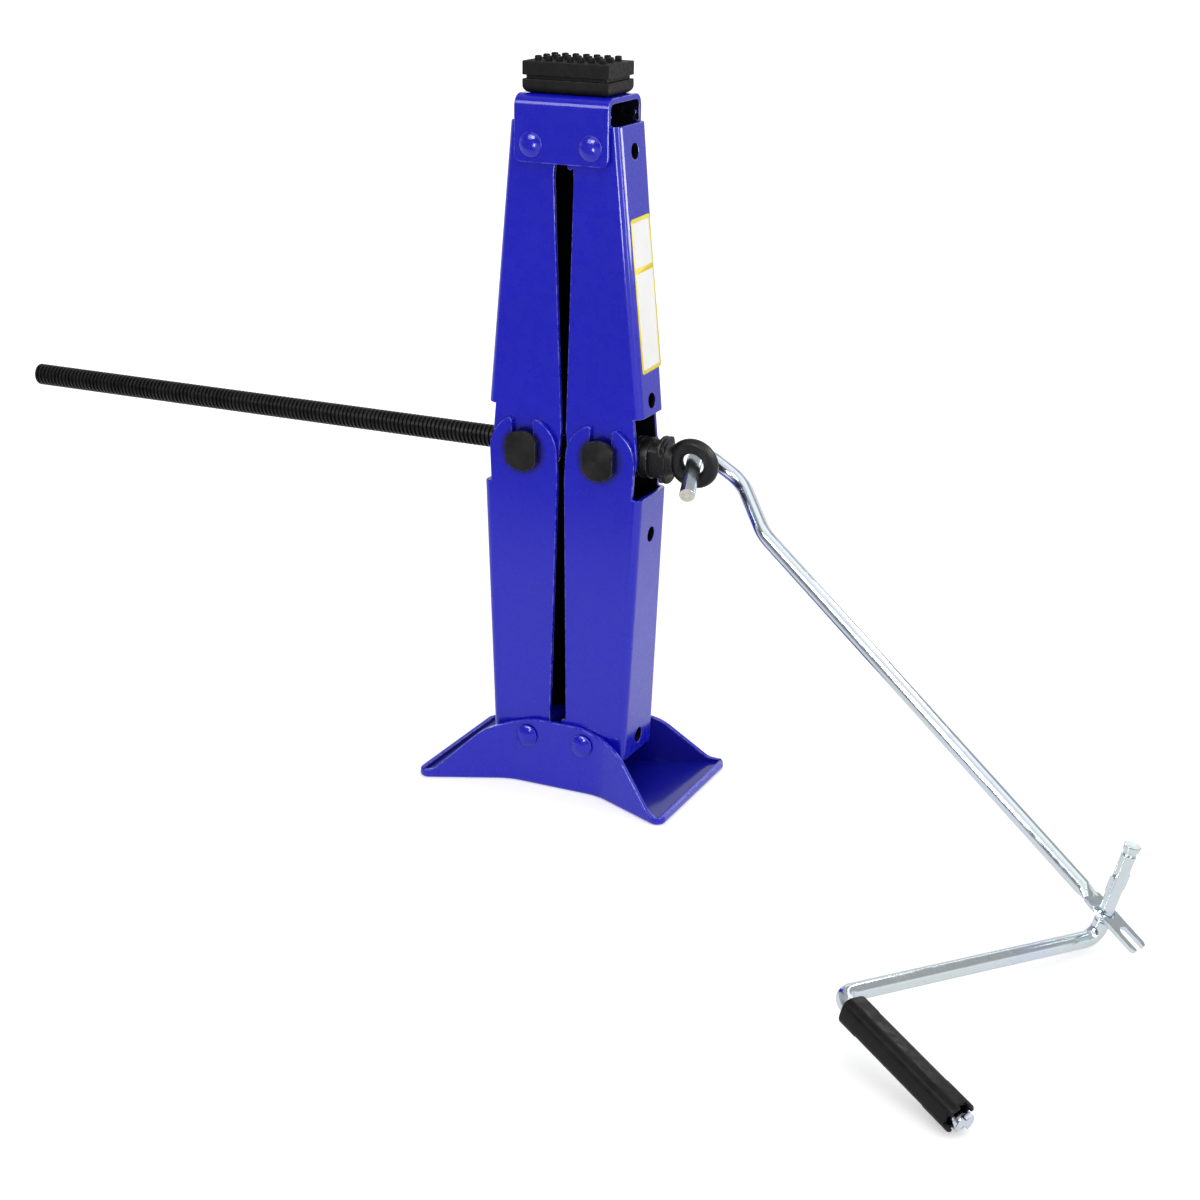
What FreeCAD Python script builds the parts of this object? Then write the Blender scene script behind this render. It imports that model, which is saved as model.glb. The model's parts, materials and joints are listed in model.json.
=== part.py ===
import FreeCAD, Part
import math
import os
import Sketcher

# Scissor jack, standing raised on its base, with the folding crank hooked in its eye.
# Millimetres, +Z up, +X along the screw towards the eye, origin under the middle of the base.

Vector = FreeCAD.Vector
Placement = FreeCAD.Placement
Rotation = FreeCAD.Rotation
AXIS_X = Vector(1, 0, 0)
AXIS_Y = Vector(0, 1, 0)
AXIS_Z = Vector(0, 0, 1)

doc = FreeCAD.newDocument("scissor_jack")

# Driving dimensions
SIZES = {
    # Linkage at rest
    "pivot_spacing": "32.7",
    "elbow_spacing": "43.8",
    "base_pivot_height": "27",
    "screw_height": "184",
    # Pressed arms: distances from the pivots to the web and to the inner edge
    "arm_sheet": "2.5",
    "fold_radius": "4",
    "lower_elbow_half": "17.1",
    "lower_end_half": "19.2",
    "upper_end_half": "16",
    "elbow_gap": "0.6",
    "lower_elbow_web": "24",
    "lower_end_web": "22.6",
    "upper_elbow_web": "24",
    "upper_end_web": "14.8",
    "elbow_inner": "19.4",
    "end_inner": "12.4",
    "lower_web_start": "18",
    "upper_web_start": "20.5",
    "lower_web_overrun": "5.8",
    "upper_web_overrun": "9.5",
    "window_step": "4.5",
    "lower_tail": "18.3",
    "upper_tail": "18",
    "taper_start": "14",
    "taper_end": "15",
    "ear_slot": "12",
    "ear_tip_radius": "1.8",
    "web_hole_radius": "4",
    "lower_hole_far": "3.1",
    "lower_hole_near": "40",
    "upper_hole_far": "3.8",
    "upper_hole_near": "28",
    # Gear teeth on the arm ends, as counted round a whole circle, and those that are cut
    "tooth_count": "14",
    "teeth_left": "6",
    "teeth_right": "7",
    "teeth_outside": "4",
    "tooth_height": "1.6",
    "tooth_depth": "2.2",
    "tooth_play": "0.9",
    # Pivots
    "pivot_clearance": "0.1",
    "side_clearance": "0.4",
    "rivet_radius": "4",
    "rivet_head_radius": "6.2",
    "rivet_head": "2.6",
    "rivet_rim": "0.6",
    # Base tray
    "base_sheet": "2.8",
    "base_draft": "4.5",
    "base_half_length": "73",
    "base_half_width": "47",
    "waist_half_length": "26",
    "base_wall": "36.7",
    "base_lip": "4.6",
    "hump_flat": "14",
    "hump_shoulder_run": "24.3",
    "hump_shoulder_drop": "8.2",
    "hump_foot_inset": "8.7",
    "hump_radius": "25",
    "hump_foot_radius": "8",
    "waist_radius": "30",
    "base_corner_radius": "5",
    "base_edge_radius": "2",
    # Saddle bracket and rubber pad
    "bracket_sheet": "3",
    "bracket_length": "51.6",
    "bracket_rise": "24.1",
    "bracket_drop": "9",
    "bracket_fold": "6.2",
    "bracket_corner": "4",
    "pad_length": "47.4",
    "pad_width": "29.3",
    "pad_height": "15.5",
    "pad_edge_radius": "3.5",
    "pad_groove": "1.7",
    "pad_groove_depth": "1.5",
    "stud_size": "3",
    "stud_height": "2.4",
    "stud_pitch": "5.8",
    "stud_row_pitch": "9.1",
    "stud_columns": "7",
    "peg_radius": "4",
    "peg_reach": "2",
    # Trunnions
    "trunnion_radius": "12",
    "trunnion_neck": "7.9",
    "trunnion_head": "10.6",
    "trunnion_head_thickness": "3",
    "trunnion_flat": "8.8",
    "trunnion_seat": "11",
    # Screw, thrust bearing and eye
    "screw_radius": "6",
    "screw_left": "347.5",
    "screw_chamfer": "1.5",
    "screw_clearance": "0.35",
    "race_clearance": "0.4",
    "race_thickness": "4.3",
    "ball_radius": "1.7",
    "ball_gap": "0.05",
    "ball_count": "9",
    "cage_thickness": "2.4",
    "hub_radius": "10",
    "hub_length": "5",
    "collar_radius": "12.3",
    "collar_length": "4",
    "eye_neck": "12.9",
    "eye_neck_radius": "6.4",
    "eye_ring": "9.7",
    "eye_bar": "3.9",
    "eye_spin": "12",
    "socket_gap": "0.1",
    "press_clearance": "0.05",
    "cross_pin_radius": "1.5",
    # Hook rod
    "rod_radius": "4",
    "hook_clearance": "0.8",
    "hook_tip": "26.2",
    "hook_tip_angle": "51",
    "hook_return": "16",
    "hook_return_radius": "8",
    "hook_crest_along": "18",
    "hook_crest_across": "20.8",
    "hook_crest_radius": "20",
    "hook_elbow_along": "51.6",
    "hook_elbow_radius": "25",
    "shank_offset": "5",
    "shank_length": "300.9",
    "hook_yaw": "-18.3",
    "hook_rest_height": "20.4",
    "blade_width": "12.6",
    "blade_thickness": "2.2",
    "blade_start": "10.5",
    "blade_end": "22.5",
    "blade_swage": "5",
    "blade_twist": "-8",
    "blade_play": "0.8",
    "fork_slot": "6.8",
    "fork_depth": "13",
    # Crank and grip
    "crank_yaw": "-120.3",
    "crank_pitch": "-6.7",
    "crank_roll": "-12.8",
    "crank_bend": "7.5",
    "crank_below": "14.1",
    "crank_above": "37.6",
    "crank_arm": "157.4",
    "crank_spindle": "83",
    "drive_radius": "3.5",
    "drive_shoulder": "3.9",
    "wing_span": "10.8",
    "wing_thickness": "2.8",
    "wing_length": "8.6",
    "wing_above": "12.4",
    "drive_neck_radius": "2.7",
    "drive_neck_length": "2.2",
    "drive_head_radius": "3.9",
    "drive_head_length": "2.8",
    "grip_start": "9",
    "grip_half": "6.2",
    "grip_collar_half": "6.45",
    "grip_collar_length": "12",
    "grip_corner_radius": "3.6",
    "grip_clearance": "0.2",
    "swage_radius": "4.7",
    "swage_length": "2.6",
    "swage_gap": "0.4",
}

sizes = doc.addObject("Spreadsheet::Sheet", "sizes")
for row, (alias, text) in enumerate(SIZES.items(), start=1):
    sizes.set(f"A{row}", alias)
    sizes.set(f"B{row}", text)
    sizes.setAlias(f"B{row}", alias)
doc.recompute()

pieces = []

# Shares of a width or a thickness that a rounding takes
FULL_ROUND = 0.495
CORNER_ROUND = 0.2

# Lengths that follow from the driving dimensions, as expressions
RISE = "(sizes.screw_height - sizes.base_pivot_height)"
LEAN = "((sizes.elbow_spacing - sizes.pivot_spacing) / 2)"
ARM = f"sqrt({RISE}^2 + {LEAN}^2)"
TOP_PIVOT = "(2 * sizes.screw_height - sizes.base_pivot_height)"
BLANK_WIDTH = "(3 * sizes.lower_end_half)"
UPPER_ELBOW_HALF = "(sizes.lower_elbow_half - sizes.arm_sheet - sizes.elbow_gap)"
BRACKET_INNER = "(sizes.upper_end_half + sizes.side_clearance)"
BRACKET_OUTER = f"({BRACKET_INNER} + sizes.bracket_sheet)"
BASE_LEAN = "tan(sizes.base_draft)"
BASE_TOP_HALF = "(sizes.lower_end_half + sizes.side_clearance + sizes.base_sheet)"
BASE_WAIST = f"({BASE_TOP_HALF} + sizes.base_wall * {BASE_LEAN})"
BASE_SEAT = f"({BASE_WAIST} - (sizes.base_pivot_height - sizes.rivet_head_radius) * {BASE_LEAN})"
HUMP_FOOT = "(sizes.base_half_length - sizes.hump_foot_inset)"
HUMP_SHOULDER = f"({HUMP_FOOT} - sizes.hump_shoulder_run)"
HUMP_SHOULDER_HEIGHT = "(sizes.base_wall - sizes.hump_shoulder_drop)"
TRUNNION_CORE = f"({UPPER_ELBOW_HALF} - sizes.arm_sheet - sizes.side_clearance)"
RACE_RADIUS = f"({TRUNNION_CORE} - sizes.race_clearance)"
SCREW_BORE = "(sizes.screw_radius + sizes.screw_clearance)"
BALL_CIRCLE = f"(({SCREW_BORE} + {RACE_RADIUS}) / 2)"
BALL_SPACE = "(2 * sizes.ball_radius + 2 * sizes.ball_gap)"
TRUNNION_SEAT = "(sizes.lower_elbow_half + sizes.side_clearance)"
BEARING_FACE = "(sizes.elbow_spacing / 2 + sizes.trunnion_seat)"
HUB_FACE = f"({BEARING_FACE} + 2 * sizes.race_thickness + {BALL_SPACE})"
EYE_CENTRE = f"({HUB_FACE} + sizes.hub_length + sizes.collar_length + sizes.eye_neck)"
HOOK_DROP = "(sizes.eye_ring - sizes.eye_bar - sizes.rod_radius - sizes.hook_clearance)"
SOCKET_END = "(sizes.eye_ring + sizes.eye_bar)"
BLADE_HOLE = "(sizes.drive_radius + sizes.blade_play)"
GRIP_END = "(sizes.crank_spindle - sizes.swage_length - sizes.swage_gap)"


def number(expression):
    """Value of an expression of the sheet."""
    return float(sizes.evalExpression(expression))


def new_body(label):
    piece = doc.addObject("PartDesign::Body", label)
    piece.Label = label
    pieces.append(piece)
    return piece


def sketch_on(body, name, role, offset=None):
    """A sketch on one of the body's own origin planes."""
    plane = [feature for feature in body.Origin.OriginFeatures if feature.Role == role][0]
    sketch = body.newObject("Sketcher::SketchObject", name)
    sketch.AttachmentSupport = (plane, [""])
    sketch.MapMode = "FlatFace"
    if offset is not None:
        sketch.AttachmentOffset = offset
    return sketch


def bind(sketch, kind, expression, *where):
    index = sketch.addConstraint(Sketcher.Constraint(kind, *where, number(expression)))
    sketch.setExpression(f"Constraints[{index}]", expression)


def bind_point(sketch, geometry, end, across, up):
    """Holds one end of a line, or a centre, at two expressions from the sketch's origin."""
    bind(sketch, "DistanceX", across, -1, 1, geometry, end)
    bind(sketch, "DistanceY", up, -1, 1, geometry, end)


def bulging_side(start, end, radius):
    """An arc between two corners that bulges to the right of the way from one to the other."""
    chord = end - start
    middle = (start + end) / 2
    right = Vector(chord.y, -chord.x, 0).normalize()
    rise = radius - math.sqrt(radius**2 - (chord.Length / 2) ** 2)
    return Part.Arc(start, middle + right * rise, end)


def polygon(sketch, corners, arcs=None):
    """A closed outline whose corners are pairs of expressions; arcs gives the sides that bulge."""
    radii = arcs or {}
    points = [Vector(number(across), number(up), 0) for across, up in corners]
    count = len(points)
    first = sketch.GeometryCount
    for index in range(count):
        start = points[index]
        end = points[(index + 1) % count]
        if index in radii:
            side = bulging_side(start, end, number(radii[index]))
        else:
            side = Part.LineSegment(start, end)
        sketch.addGeometry(side, False)
    for index in range(count):
        following = first + (index + 1) % count
        sketch.addConstraint(Sketcher.Constraint("Coincident", first + index, 2, following, 1))
    for index, (across, up) in enumerate(corners):
        bind_point(sketch, first + index, 1, across, up)
    for index, radius in radii.items():
        bind(sketch, "Radius", radius, first + index)


def circle(sketch, across, up, radius):
    centre = Vector(number(across), number(up), 0)
    index = sketch.addGeometry(Part.Circle(centre, AXIS_Z, number(radius)), False)
    bind(sketch, "Radius", radius, index)
    bind_point(sketch, index, 3, across, up)


def pad(body, name, sketch, length, symmetric=True):
    feature = body.newObject("PartDesign::Pad", name)
    feature.Profile = sketch
    feature.setExpression("Length", length)
    if symmetric:
        feature.SideType = "Symmetric"
    doc.recompute()
    return feature


def pocket_through(body, name, sketch):
    feature = body.newObject("PartDesign::Pocket", name)
    feature.Profile = sketch
    feature.Type = "ThroughAll"
    feature.SideType = "Symmetric"
    doc.recompute()
    return feature


def pocket_beyond(body, name, sketch, reversed_way=False):
    """Cuts everything on one side of the sketch's plane."""
    feature = body.newObject("PartDesign::Pocket", name)
    feature.Profile = sketch
    feature.Type = "ThroughAll"
    feature.Reversed = reversed_way
    doc.recompute()
    return feature


def revolve(body, name, sketch, axis):
    feature = body.newObject("PartDesign::Revolution", name)
    feature.Profile = sketch
    feature.ReferenceAxis = (sketch, [axis])
    feature.Angle = 360
    doc.recompute()
    return feature


def round_edges(body, name, radius, wanted):
    """Rounds the edges for which the test is true."""
    base = body.Tip
    names = [f"Edge{index}" for index, edge in enumerate(base.Shape.Edges, start=1) if wanted(edge)]
    feature = body.newObject("PartDesign::Fillet", name)
    feature.Base = (base, names)
    feature.setExpression("Radius", radius)
    doc.recompute()
    return feature


def runs_along(edge, axis):
    """True for a straight edge in the direction of the axis, to within a few degrees."""
    if not isinstance(edge.Curve, Part.Line):
        return False
    return abs(edge.Curve.Direction.dot(axis)) > 0.99


def edge_at(edge, axis, places, near=0.05):
    """True for an edge along the axis whose middle, seen along it, is at one of the places."""
    if not runs_along(edge, axis):
        return False
    middle = edge.CenterOfMass
    flat = middle - axis * middle.dot(axis)
    return any((flat - place).Length < near for place in places)


# Arms

def half_width(kind, height, reach):
    """Outer half width of an arm, which flares from its elbow to its end."""
    elbow = "sizes.lower_elbow_half" if kind == "lower" else UPPER_ELBOW_HALF
    return f"({elbow} + (sizes.{kind}_end_half - {elbow}) * ({height}) / {reach})"


def arm_reach(kind):
    """Distance along the web from the elbow pivot to the end pivot."""
    return f"sqrt({ARM}^2 - (sizes.{kind}_elbow_web - sizes.{kind}_end_web)^2)"


def arm_tilt(kind):
    """Lean of the web towards the middle of the jack, in degrees."""
    lean = math.degrees(math.atan2(number(LEAN), number(RISE)))
    web = number(f"sizes.{kind}_elbow_web - sizes.{kind}_end_web")
    return lean + math.degrees(math.asin(web / number(ARM)))


def arm_outline(body, kind, reach):
    """The side view of the channel, with the web on the plane x = 0 and the elbow at z = 0."""
    inner_elbow = f"-(sizes.{kind}_elbow_web + sizes.elbow_inner)"
    inner_end = f"-(sizes.{kind}_end_web + sizes.end_inner)"
    start = f"sizes.{kind}_web_start"
    tail = f"-sizes.{kind}_tail"
    top = f"({reach} + sizes.{kind}_web_overrun)"
    sketch = sketch_on(body, "side_view", "XZ_Plane")
    polygon(sketch, [
        ("0", start),
        ("-sizes.window_step", start),
        ("-sizes.window_step", tail),
        (inner_elbow, tail),
        (inner_elbow, "sizes.taper_start"),
        (inner_end, f"({reach} - sizes.taper_end)"),
        (inner_end, top),
        ("0", top),
    ])
    pad(body, "blank", sketch, BLANK_WIDTH)
    corners = [Vector(number("-sizes.window_step"), 0, number(tail))]
    corners.append(Vector(number(inner_elbow), 0, number(tail)))
    span = f"(sizes.{kind}_elbow_web + sizes.elbow_inner - sizes.window_step)"
    radius = f"{FULL_ROUND} * {span}"
    round_edges(body, "elbow_round", radius, lambda edge: edge_at(edge, AXIS_Y, corners))


def arm_teeth(body, kind, reach, side):
    """Gear teeth round the end pivot, where the two arms of a pair roll on each other."""
    pitch_radius = "(sizes.pivot_spacing / 2)"
    root_radius = f"({pitch_radius} - sizes.tooth_depth)"
    half_tooth = "((pi * sizes.pivot_spacing / sizes.tooth_count - sizes.tooth_play) / 4)"
    half_root = f"({half_tooth} * {root_radius} / {pitch_radius})"
    inside = f"({root_radius} - sizes.tooth_depth)"

    disc = sketch_on(body, "tooth_root", "XZ_Plane")
    circle(disc, f"-sizes.{kind}_end_web", reach, root_radius)
    pad(body, "root_disc", disc, BLANK_WIDTH)

    # The left arm meets its partner with a tooth, the right arm with a gap
    pitch = 360 / number("sizes.tooth_count")
    meeting = 180 - arm_tilt(kind)
    half_pitch = pitch / 2 if side == "right" else 0
    first_angle = meeting - number("sizes.teeth_outside") * pitch - half_pitch
    teeth = int(number(f"sizes.teeth_{side}"))
    pivot = Vector(number(f"-sizes.{kind}_end_web"), number(reach), 0)
    tooth = sketch_on(body, "tooth", "XZ_Plane", Placement(pivot, Rotation(AXIS_Z, first_angle)))
    crown = f"(({half_tooth}^2 + sizes.tooth_height^2) / (2 * sizes.tooth_height))"
    polygon(tooth, [
        (inside, f"-{half_root}"),
        (pitch_radius, f"-{half_tooth}"),
        (pitch_radius, half_tooth),
        (inside, half_root),
    ], arcs={1: crown})
    one = pad(body, "one_tooth", tooth, BLANK_WIDTH)

    row = body.newObject("PartDesign::PolarPattern", "tooth_row")
    row.Originals = [one]
    row.Axis = (tooth, ["N_Axis"])
    row.Occurrences = teeth
    row.setExpression("Angle", f"{teeth - 1} * 360 / sizes.tooth_count")
    body.Tip = row
    doc.recompute()


def arm_channel(body, kind, reach):
    """Trims the blank to its flare, folds its long edges and hollows it."""
    low = f"-(sizes.{kind}_tail + sizes.arm_sheet)"
    high = f"({reach} + sizes.pivot_spacing)"
    wide = "(2 * sizes.lower_end_half)"
    trim = sketch_on(body, "flare", "YZ_Plane")
    for sign in ("", "-"):
        polygon(trim, [
            (f"{sign}{half_width(kind, low, reach)}", low),
            (f"{sign}{half_width(kind, high, reach)}", high),
            (f"{sign}{wide}", high),
            (f"{sign}{wide}", low),
        ])
    pocket_through(body, "flare_cut", trim)

    def outer_fold(edge):
        middle = edge.CenterOfMass
        return runs_along(edge, AXIS_Z) and abs(middle.x) < 0.01 and abs(middle.y) > 1
    round_edges(body, "fold", "sizes.fold_radius", outer_fold)

    depth = number("sizes.arm_sheet")
    inside = sketch_on(body, "inside", "YZ_Plane", Placement(Vector(0, 0, -depth), Rotation()))
    inside.setExpression("AttachmentOffset.Base.z", "-sizes.arm_sheet")
    low_half = f"({half_width(kind, low, reach)} - sizes.arm_sheet)"
    high_half = f"({half_width(kind, high, reach)} - sizes.arm_sheet)"
    polygon(inside, [(f"-{low_half}", low), (low_half, low), (high_half, high), (f"-{high_half}", high)])
    pocket_beyond(body, "hollow", inside)

    def inner_fold(edge):
        middle = edge.CenterOfMass
        return runs_along(edge, AXIS_Z) and abs(middle.x + depth) < 0.01 and edge.Length > depth * 4
    round_edges(body, "inner_fold", "(sizes.fold_radius - sizes.arm_sheet)", inner_fold)


def arm_holes(body, kind, reach):
    """Pivot bores, the open slot of the lower ears and the round holes in the web."""
    bores = sketch_on(body, "bores", "XZ_Plane")
    circle(bores, f"-sizes.{kind}_elbow_web", "0", "sizes.trunnion_neck + sizes.pivot_clearance")
    circle(bores, f"-sizes.{kind}_end_web", reach, "sizes.rivet_radius + sizes.pivot_clearance")
    pocket_through(body, "bore_cut", bores)
    if kind == "lower":
        slot = sketch_on(body, "ear_slot", "XZ_Plane")
        near = f"-(sizes.{kind}_elbow_web - sizes.ear_slot / 2)"
        far = f"-(sizes.{kind}_elbow_web + sizes.ear_slot / 2)"
        below = "-2 * sizes.lower_tail"
        polygon(slot, [(near, "0"), (far, "0"), (far, below), (near, below)])
        pocket_through(body, "slot_cut", slot)
        sides = (number(near), number(far))

        def ear_tip(edge):
            middle = edge.CenterOfMass
            at_slot = any(abs(middle.x - side) < 0.01 for side in sides)
            return runs_along(edge, AXIS_Y) and at_slot and middle.z < -number("sizes.trunnion_neck")
        round_edges(body, "ear_tips", "sizes.ear_tip_radius", ear_tip)
    holes = sketch_on(body, "web_holes", "YZ_Plane")
    for height in (f"sizes.{kind}_hole_near", f"({reach} - sizes.{kind}_hole_far)"):
        circle(holes, "0", height, "sizes.web_hole_radius")
    pocket_through(body, "hole_cut", holes)


def make_arm(kind, side):
    body = new_body(f"{kind}_arm_{side}")
    reach = arm_reach(kind)
    arm_outline(body, kind, reach)
    arm_teeth(body, kind, reach, side)
    arm_channel(body, kind, reach)
    arm_holes(body, kind, reach)

    # Turned so that the web faces outwards, then leaned so that both pivots fall in place
    outward = 1 if side == "right" else -1
    turn = Rotation()
    if side == "left":
        turn = Rotation(AXIS_Z, 180)
    if kind == "lower":
        turn = turn.multiply(Rotation(AXIS_X, 180))
    towards_end = 1 if kind == "upper" else -1
    lean = Rotation(AXIS_Y, -outward * towards_end * arm_tilt(kind))
    elbow = Vector(outward * number("sizes.elbow_spacing / 2"), 0, number("sizes.screw_height"))
    own_elbow = Vector(-number(f"sizes.{kind}_elbow_web"), 0, 0)
    rotation = lean.multiply(turn)
    body.Placement = Placement(elbow - rotation.multVec(own_elbow), rotation)


for arm_kind in ("lower", "upper"):
    for arm_side in ("left", "right"):
        make_arm(arm_kind, arm_side)


# Base: a drawn tray, narrow at its waist, with humped walls that carry the lower pivots

def base_plan(sketch, inset):
    """Bow-tie outline of the base, moved inwards by an inset."""
    slope = f"((sizes.base_half_width - {BASE_WAIST}) / (sizes.base_half_length - sizes.waist_half_length))"
    secant = f"sqrt(1 + {slope}^2)"
    waist_x = f"(sizes.waist_half_length + {inset} * ({secant} - 1) / {slope})"
    waist_y = f"({BASE_WAIST} - {inset})"
    end_x = f"(sizes.base_half_length - {inset})"
    end_y = f"(sizes.base_half_width - {inset} * {slope} - {inset} * {secant})"
    polygon(sketch, [
        (f"-{end_x}", f"-{end_y}"),
        (f"-{waist_x}", f"-{waist_y}"),
        (waist_x, f"-{waist_y}"),
        (end_x, f"-{end_y}"),
        (end_x, end_y),
        (waist_x, waist_y),
        (f"-{waist_x}", waist_y),
        (f"-{end_x}", end_y),
    ])


def make_base():
    body = new_body("base_plate")
    plan = sketch_on(body, "plan", "XY_Plane")
    base_plan(plan, "0")
    block = pad(body, "block", plan, "sizes.base_wall", symmetric=False)
    block.setExpression("TaperAngle", "-sizes.base_draft")
    doc.recompute()

    def end_corner(edge):
        middle = edge.CenterOfMass
        upright = abs(edge.tangentAt(edge.FirstParameter).z) > 0.9
        return upright and abs(middle.x) > number(HUMP_FOOT)

    def waist_edge(edge):
        middle = edge.CenterOfMass
        upright = abs(edge.tangentAt(edge.FirstParameter).z) > 0.9
        return upright and abs(middle.x) < number(HUMP_SHOULDER)
    round_edges(body, "end_corners", "sizes.base_corner_radius", end_corner)
    round_edges(body, "waist_bends", "sizes.waist_radius", waist_edge)

    hump = sketch_on(body, "hump", "XZ_Plane")
    far = "(2 * sizes.base_half_length)"
    high = "(2 * sizes.base_wall)"
    rising = [
        (HUMP_FOOT, "sizes.base_lip"),
        (HUMP_SHOULDER, HUMP_SHOULDER_HEIGHT),
        ("sizes.hump_flat", "sizes.base_wall"),
    ]
    for sign in ("", "-"):
        corners = [(f"{sign}{far}", "sizes.base_lip")]
        corners += [(f"{sign}{across}", up) for across, up in rising]
        corners += [(f"{sign}sizes.hump_flat", high), (f"{sign}{far}", high)]
        polygon(hump, corners)
    pocket_through(body, "hump_cut", hump)
    feet, *crests = [
        [Vector(sign * number(across), 0, number(up)) for sign in (1, -1)] for across, up in rising
    ]
    tops = [place for pair in crests for place in pair]
    round_edges(body, "hump_feet", "sizes.hump_foot_radius", lambda edge: edge_at(edge, AXIS_Y, feet))
    round_edges(body, "hump_bends", "sizes.hump_radius", lambda edge: edge_at(edge, AXIS_Y, tops))

    wall_foot = f"(sizes.base_sheet * (1 + {BASE_LEAN}))"
    floor_top = Placement(Vector(0, 0, number("sizes.base_sheet")), Rotation())
    floor = sketch_on(body, "floor", "XY_Plane", floor_top)
    floor.setExpression("AttachmentOffset.Base.z", "sizes.base_sheet")
    base_plan(floor, wall_foot)
    hollow = body.newObject("PartDesign::Pocket", "hollow")
    hollow.Profile = floor
    hollow.Reversed = True
    hollow.setExpression("Length", "sizes.base_wall")
    hollow.setExpression("TaperAngle", "-sizes.base_draft")
    doc.recompute()

    bores = sketch_on(body, "bores", "XZ_Plane")
    for sign in ("", "-"):
        circle(bores, f"{sign}sizes.pivot_spacing / 2", "sizes.base_pivot_height",
               "sizes.rivet_radius + sizes.press_clearance")
    pocket_through(body, "bore_cut", bores)

    def floor_rim(edge):
        return edge.BoundBox.ZMax < 0.01
    round_edges(body, "floor_rim", "sizes.base_edge_radius", floor_rim)


make_base()


# Saddle: a folded bracket with a rubber pad on top

def make_bracket():
    body = new_body("saddle_bracket")
    inner_top = "(sizes.bracket_rise - sizes.bracket_sheet)"
    section = sketch_on(body, "section", "YZ_Plane")
    polygon(section, [
        (f"-{BRACKET_OUTER}", "-sizes.bracket_drop"),
        (f"-{BRACKET_OUTER}", "sizes.bracket_rise"),
        (BRACKET_OUTER, "sizes.bracket_rise"),
        (BRACKET_OUTER, "-sizes.bracket_drop"),
        (BRACKET_INNER, "-sizes.bracket_drop"),
        (BRACKET_INNER, inner_top),
        (f"-{BRACKET_INNER}", inner_top),
        (f"-{BRACKET_INNER}", "-sizes.bracket_drop"),
    ])
    pad(body, "channel", section, "sizes.bracket_length")
    rise = number("sizes.bracket_rise")
    outer = [Vector(0, sign * number(BRACKET_OUTER), rise) for sign in (1, -1)]
    inner = [Vector(0, sign * number(BRACKET_INNER), number(inner_top)) for sign in (1, -1)]
    round_edges(body, "outer_fold", "sizes.bracket_fold", lambda edge: edge_at(edge, AXIS_X, outer))
    round_edges(body, "inner_fold", "sizes.bracket_fold - sizes.bracket_sheet",
                lambda edge: edge_at(edge, AXIS_X, inner))
    end = number("sizes.bracket_length / 2")
    foot = [Vector(sign * end, 0, -number("sizes.bracket_drop")) for sign in (1, -1)]
    round_edges(body, "flange_corners", "sizes.bracket_corner", lambda edge: edge_at(edge, AXIS_Y, foot))

    bores = sketch_on(body, "bores", "XZ_Plane")
    for sign in ("", "-"):
        circle(bores, f"{sign}sizes.pivot_spacing / 2", "0", "sizes.rivet_radius + sizes.press_clearance")
    pocket_through(body, "bore_cut", bores)
    peg = sketch_on(body, "peg_hole", "XY_Plane")
    circle(peg, "0", "0", "sizes.peg_radius + sizes.press_clearance")
    pocket_through(body, "peg_cut", peg)
    body.Placement = Placement(Vector(0, 0, number(TOP_PIVOT)), Rotation())


def rectangle(sketch, length, width):
    """A rectangle about the origin of the sketch."""
    across = f"{length} / 2"
    up = f"{width} / 2"
    polygon(sketch, [(f"-{across}", f"-{up}"), (across, f"-{up}"), (across, up), (f"-{across}", up)])


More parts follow.
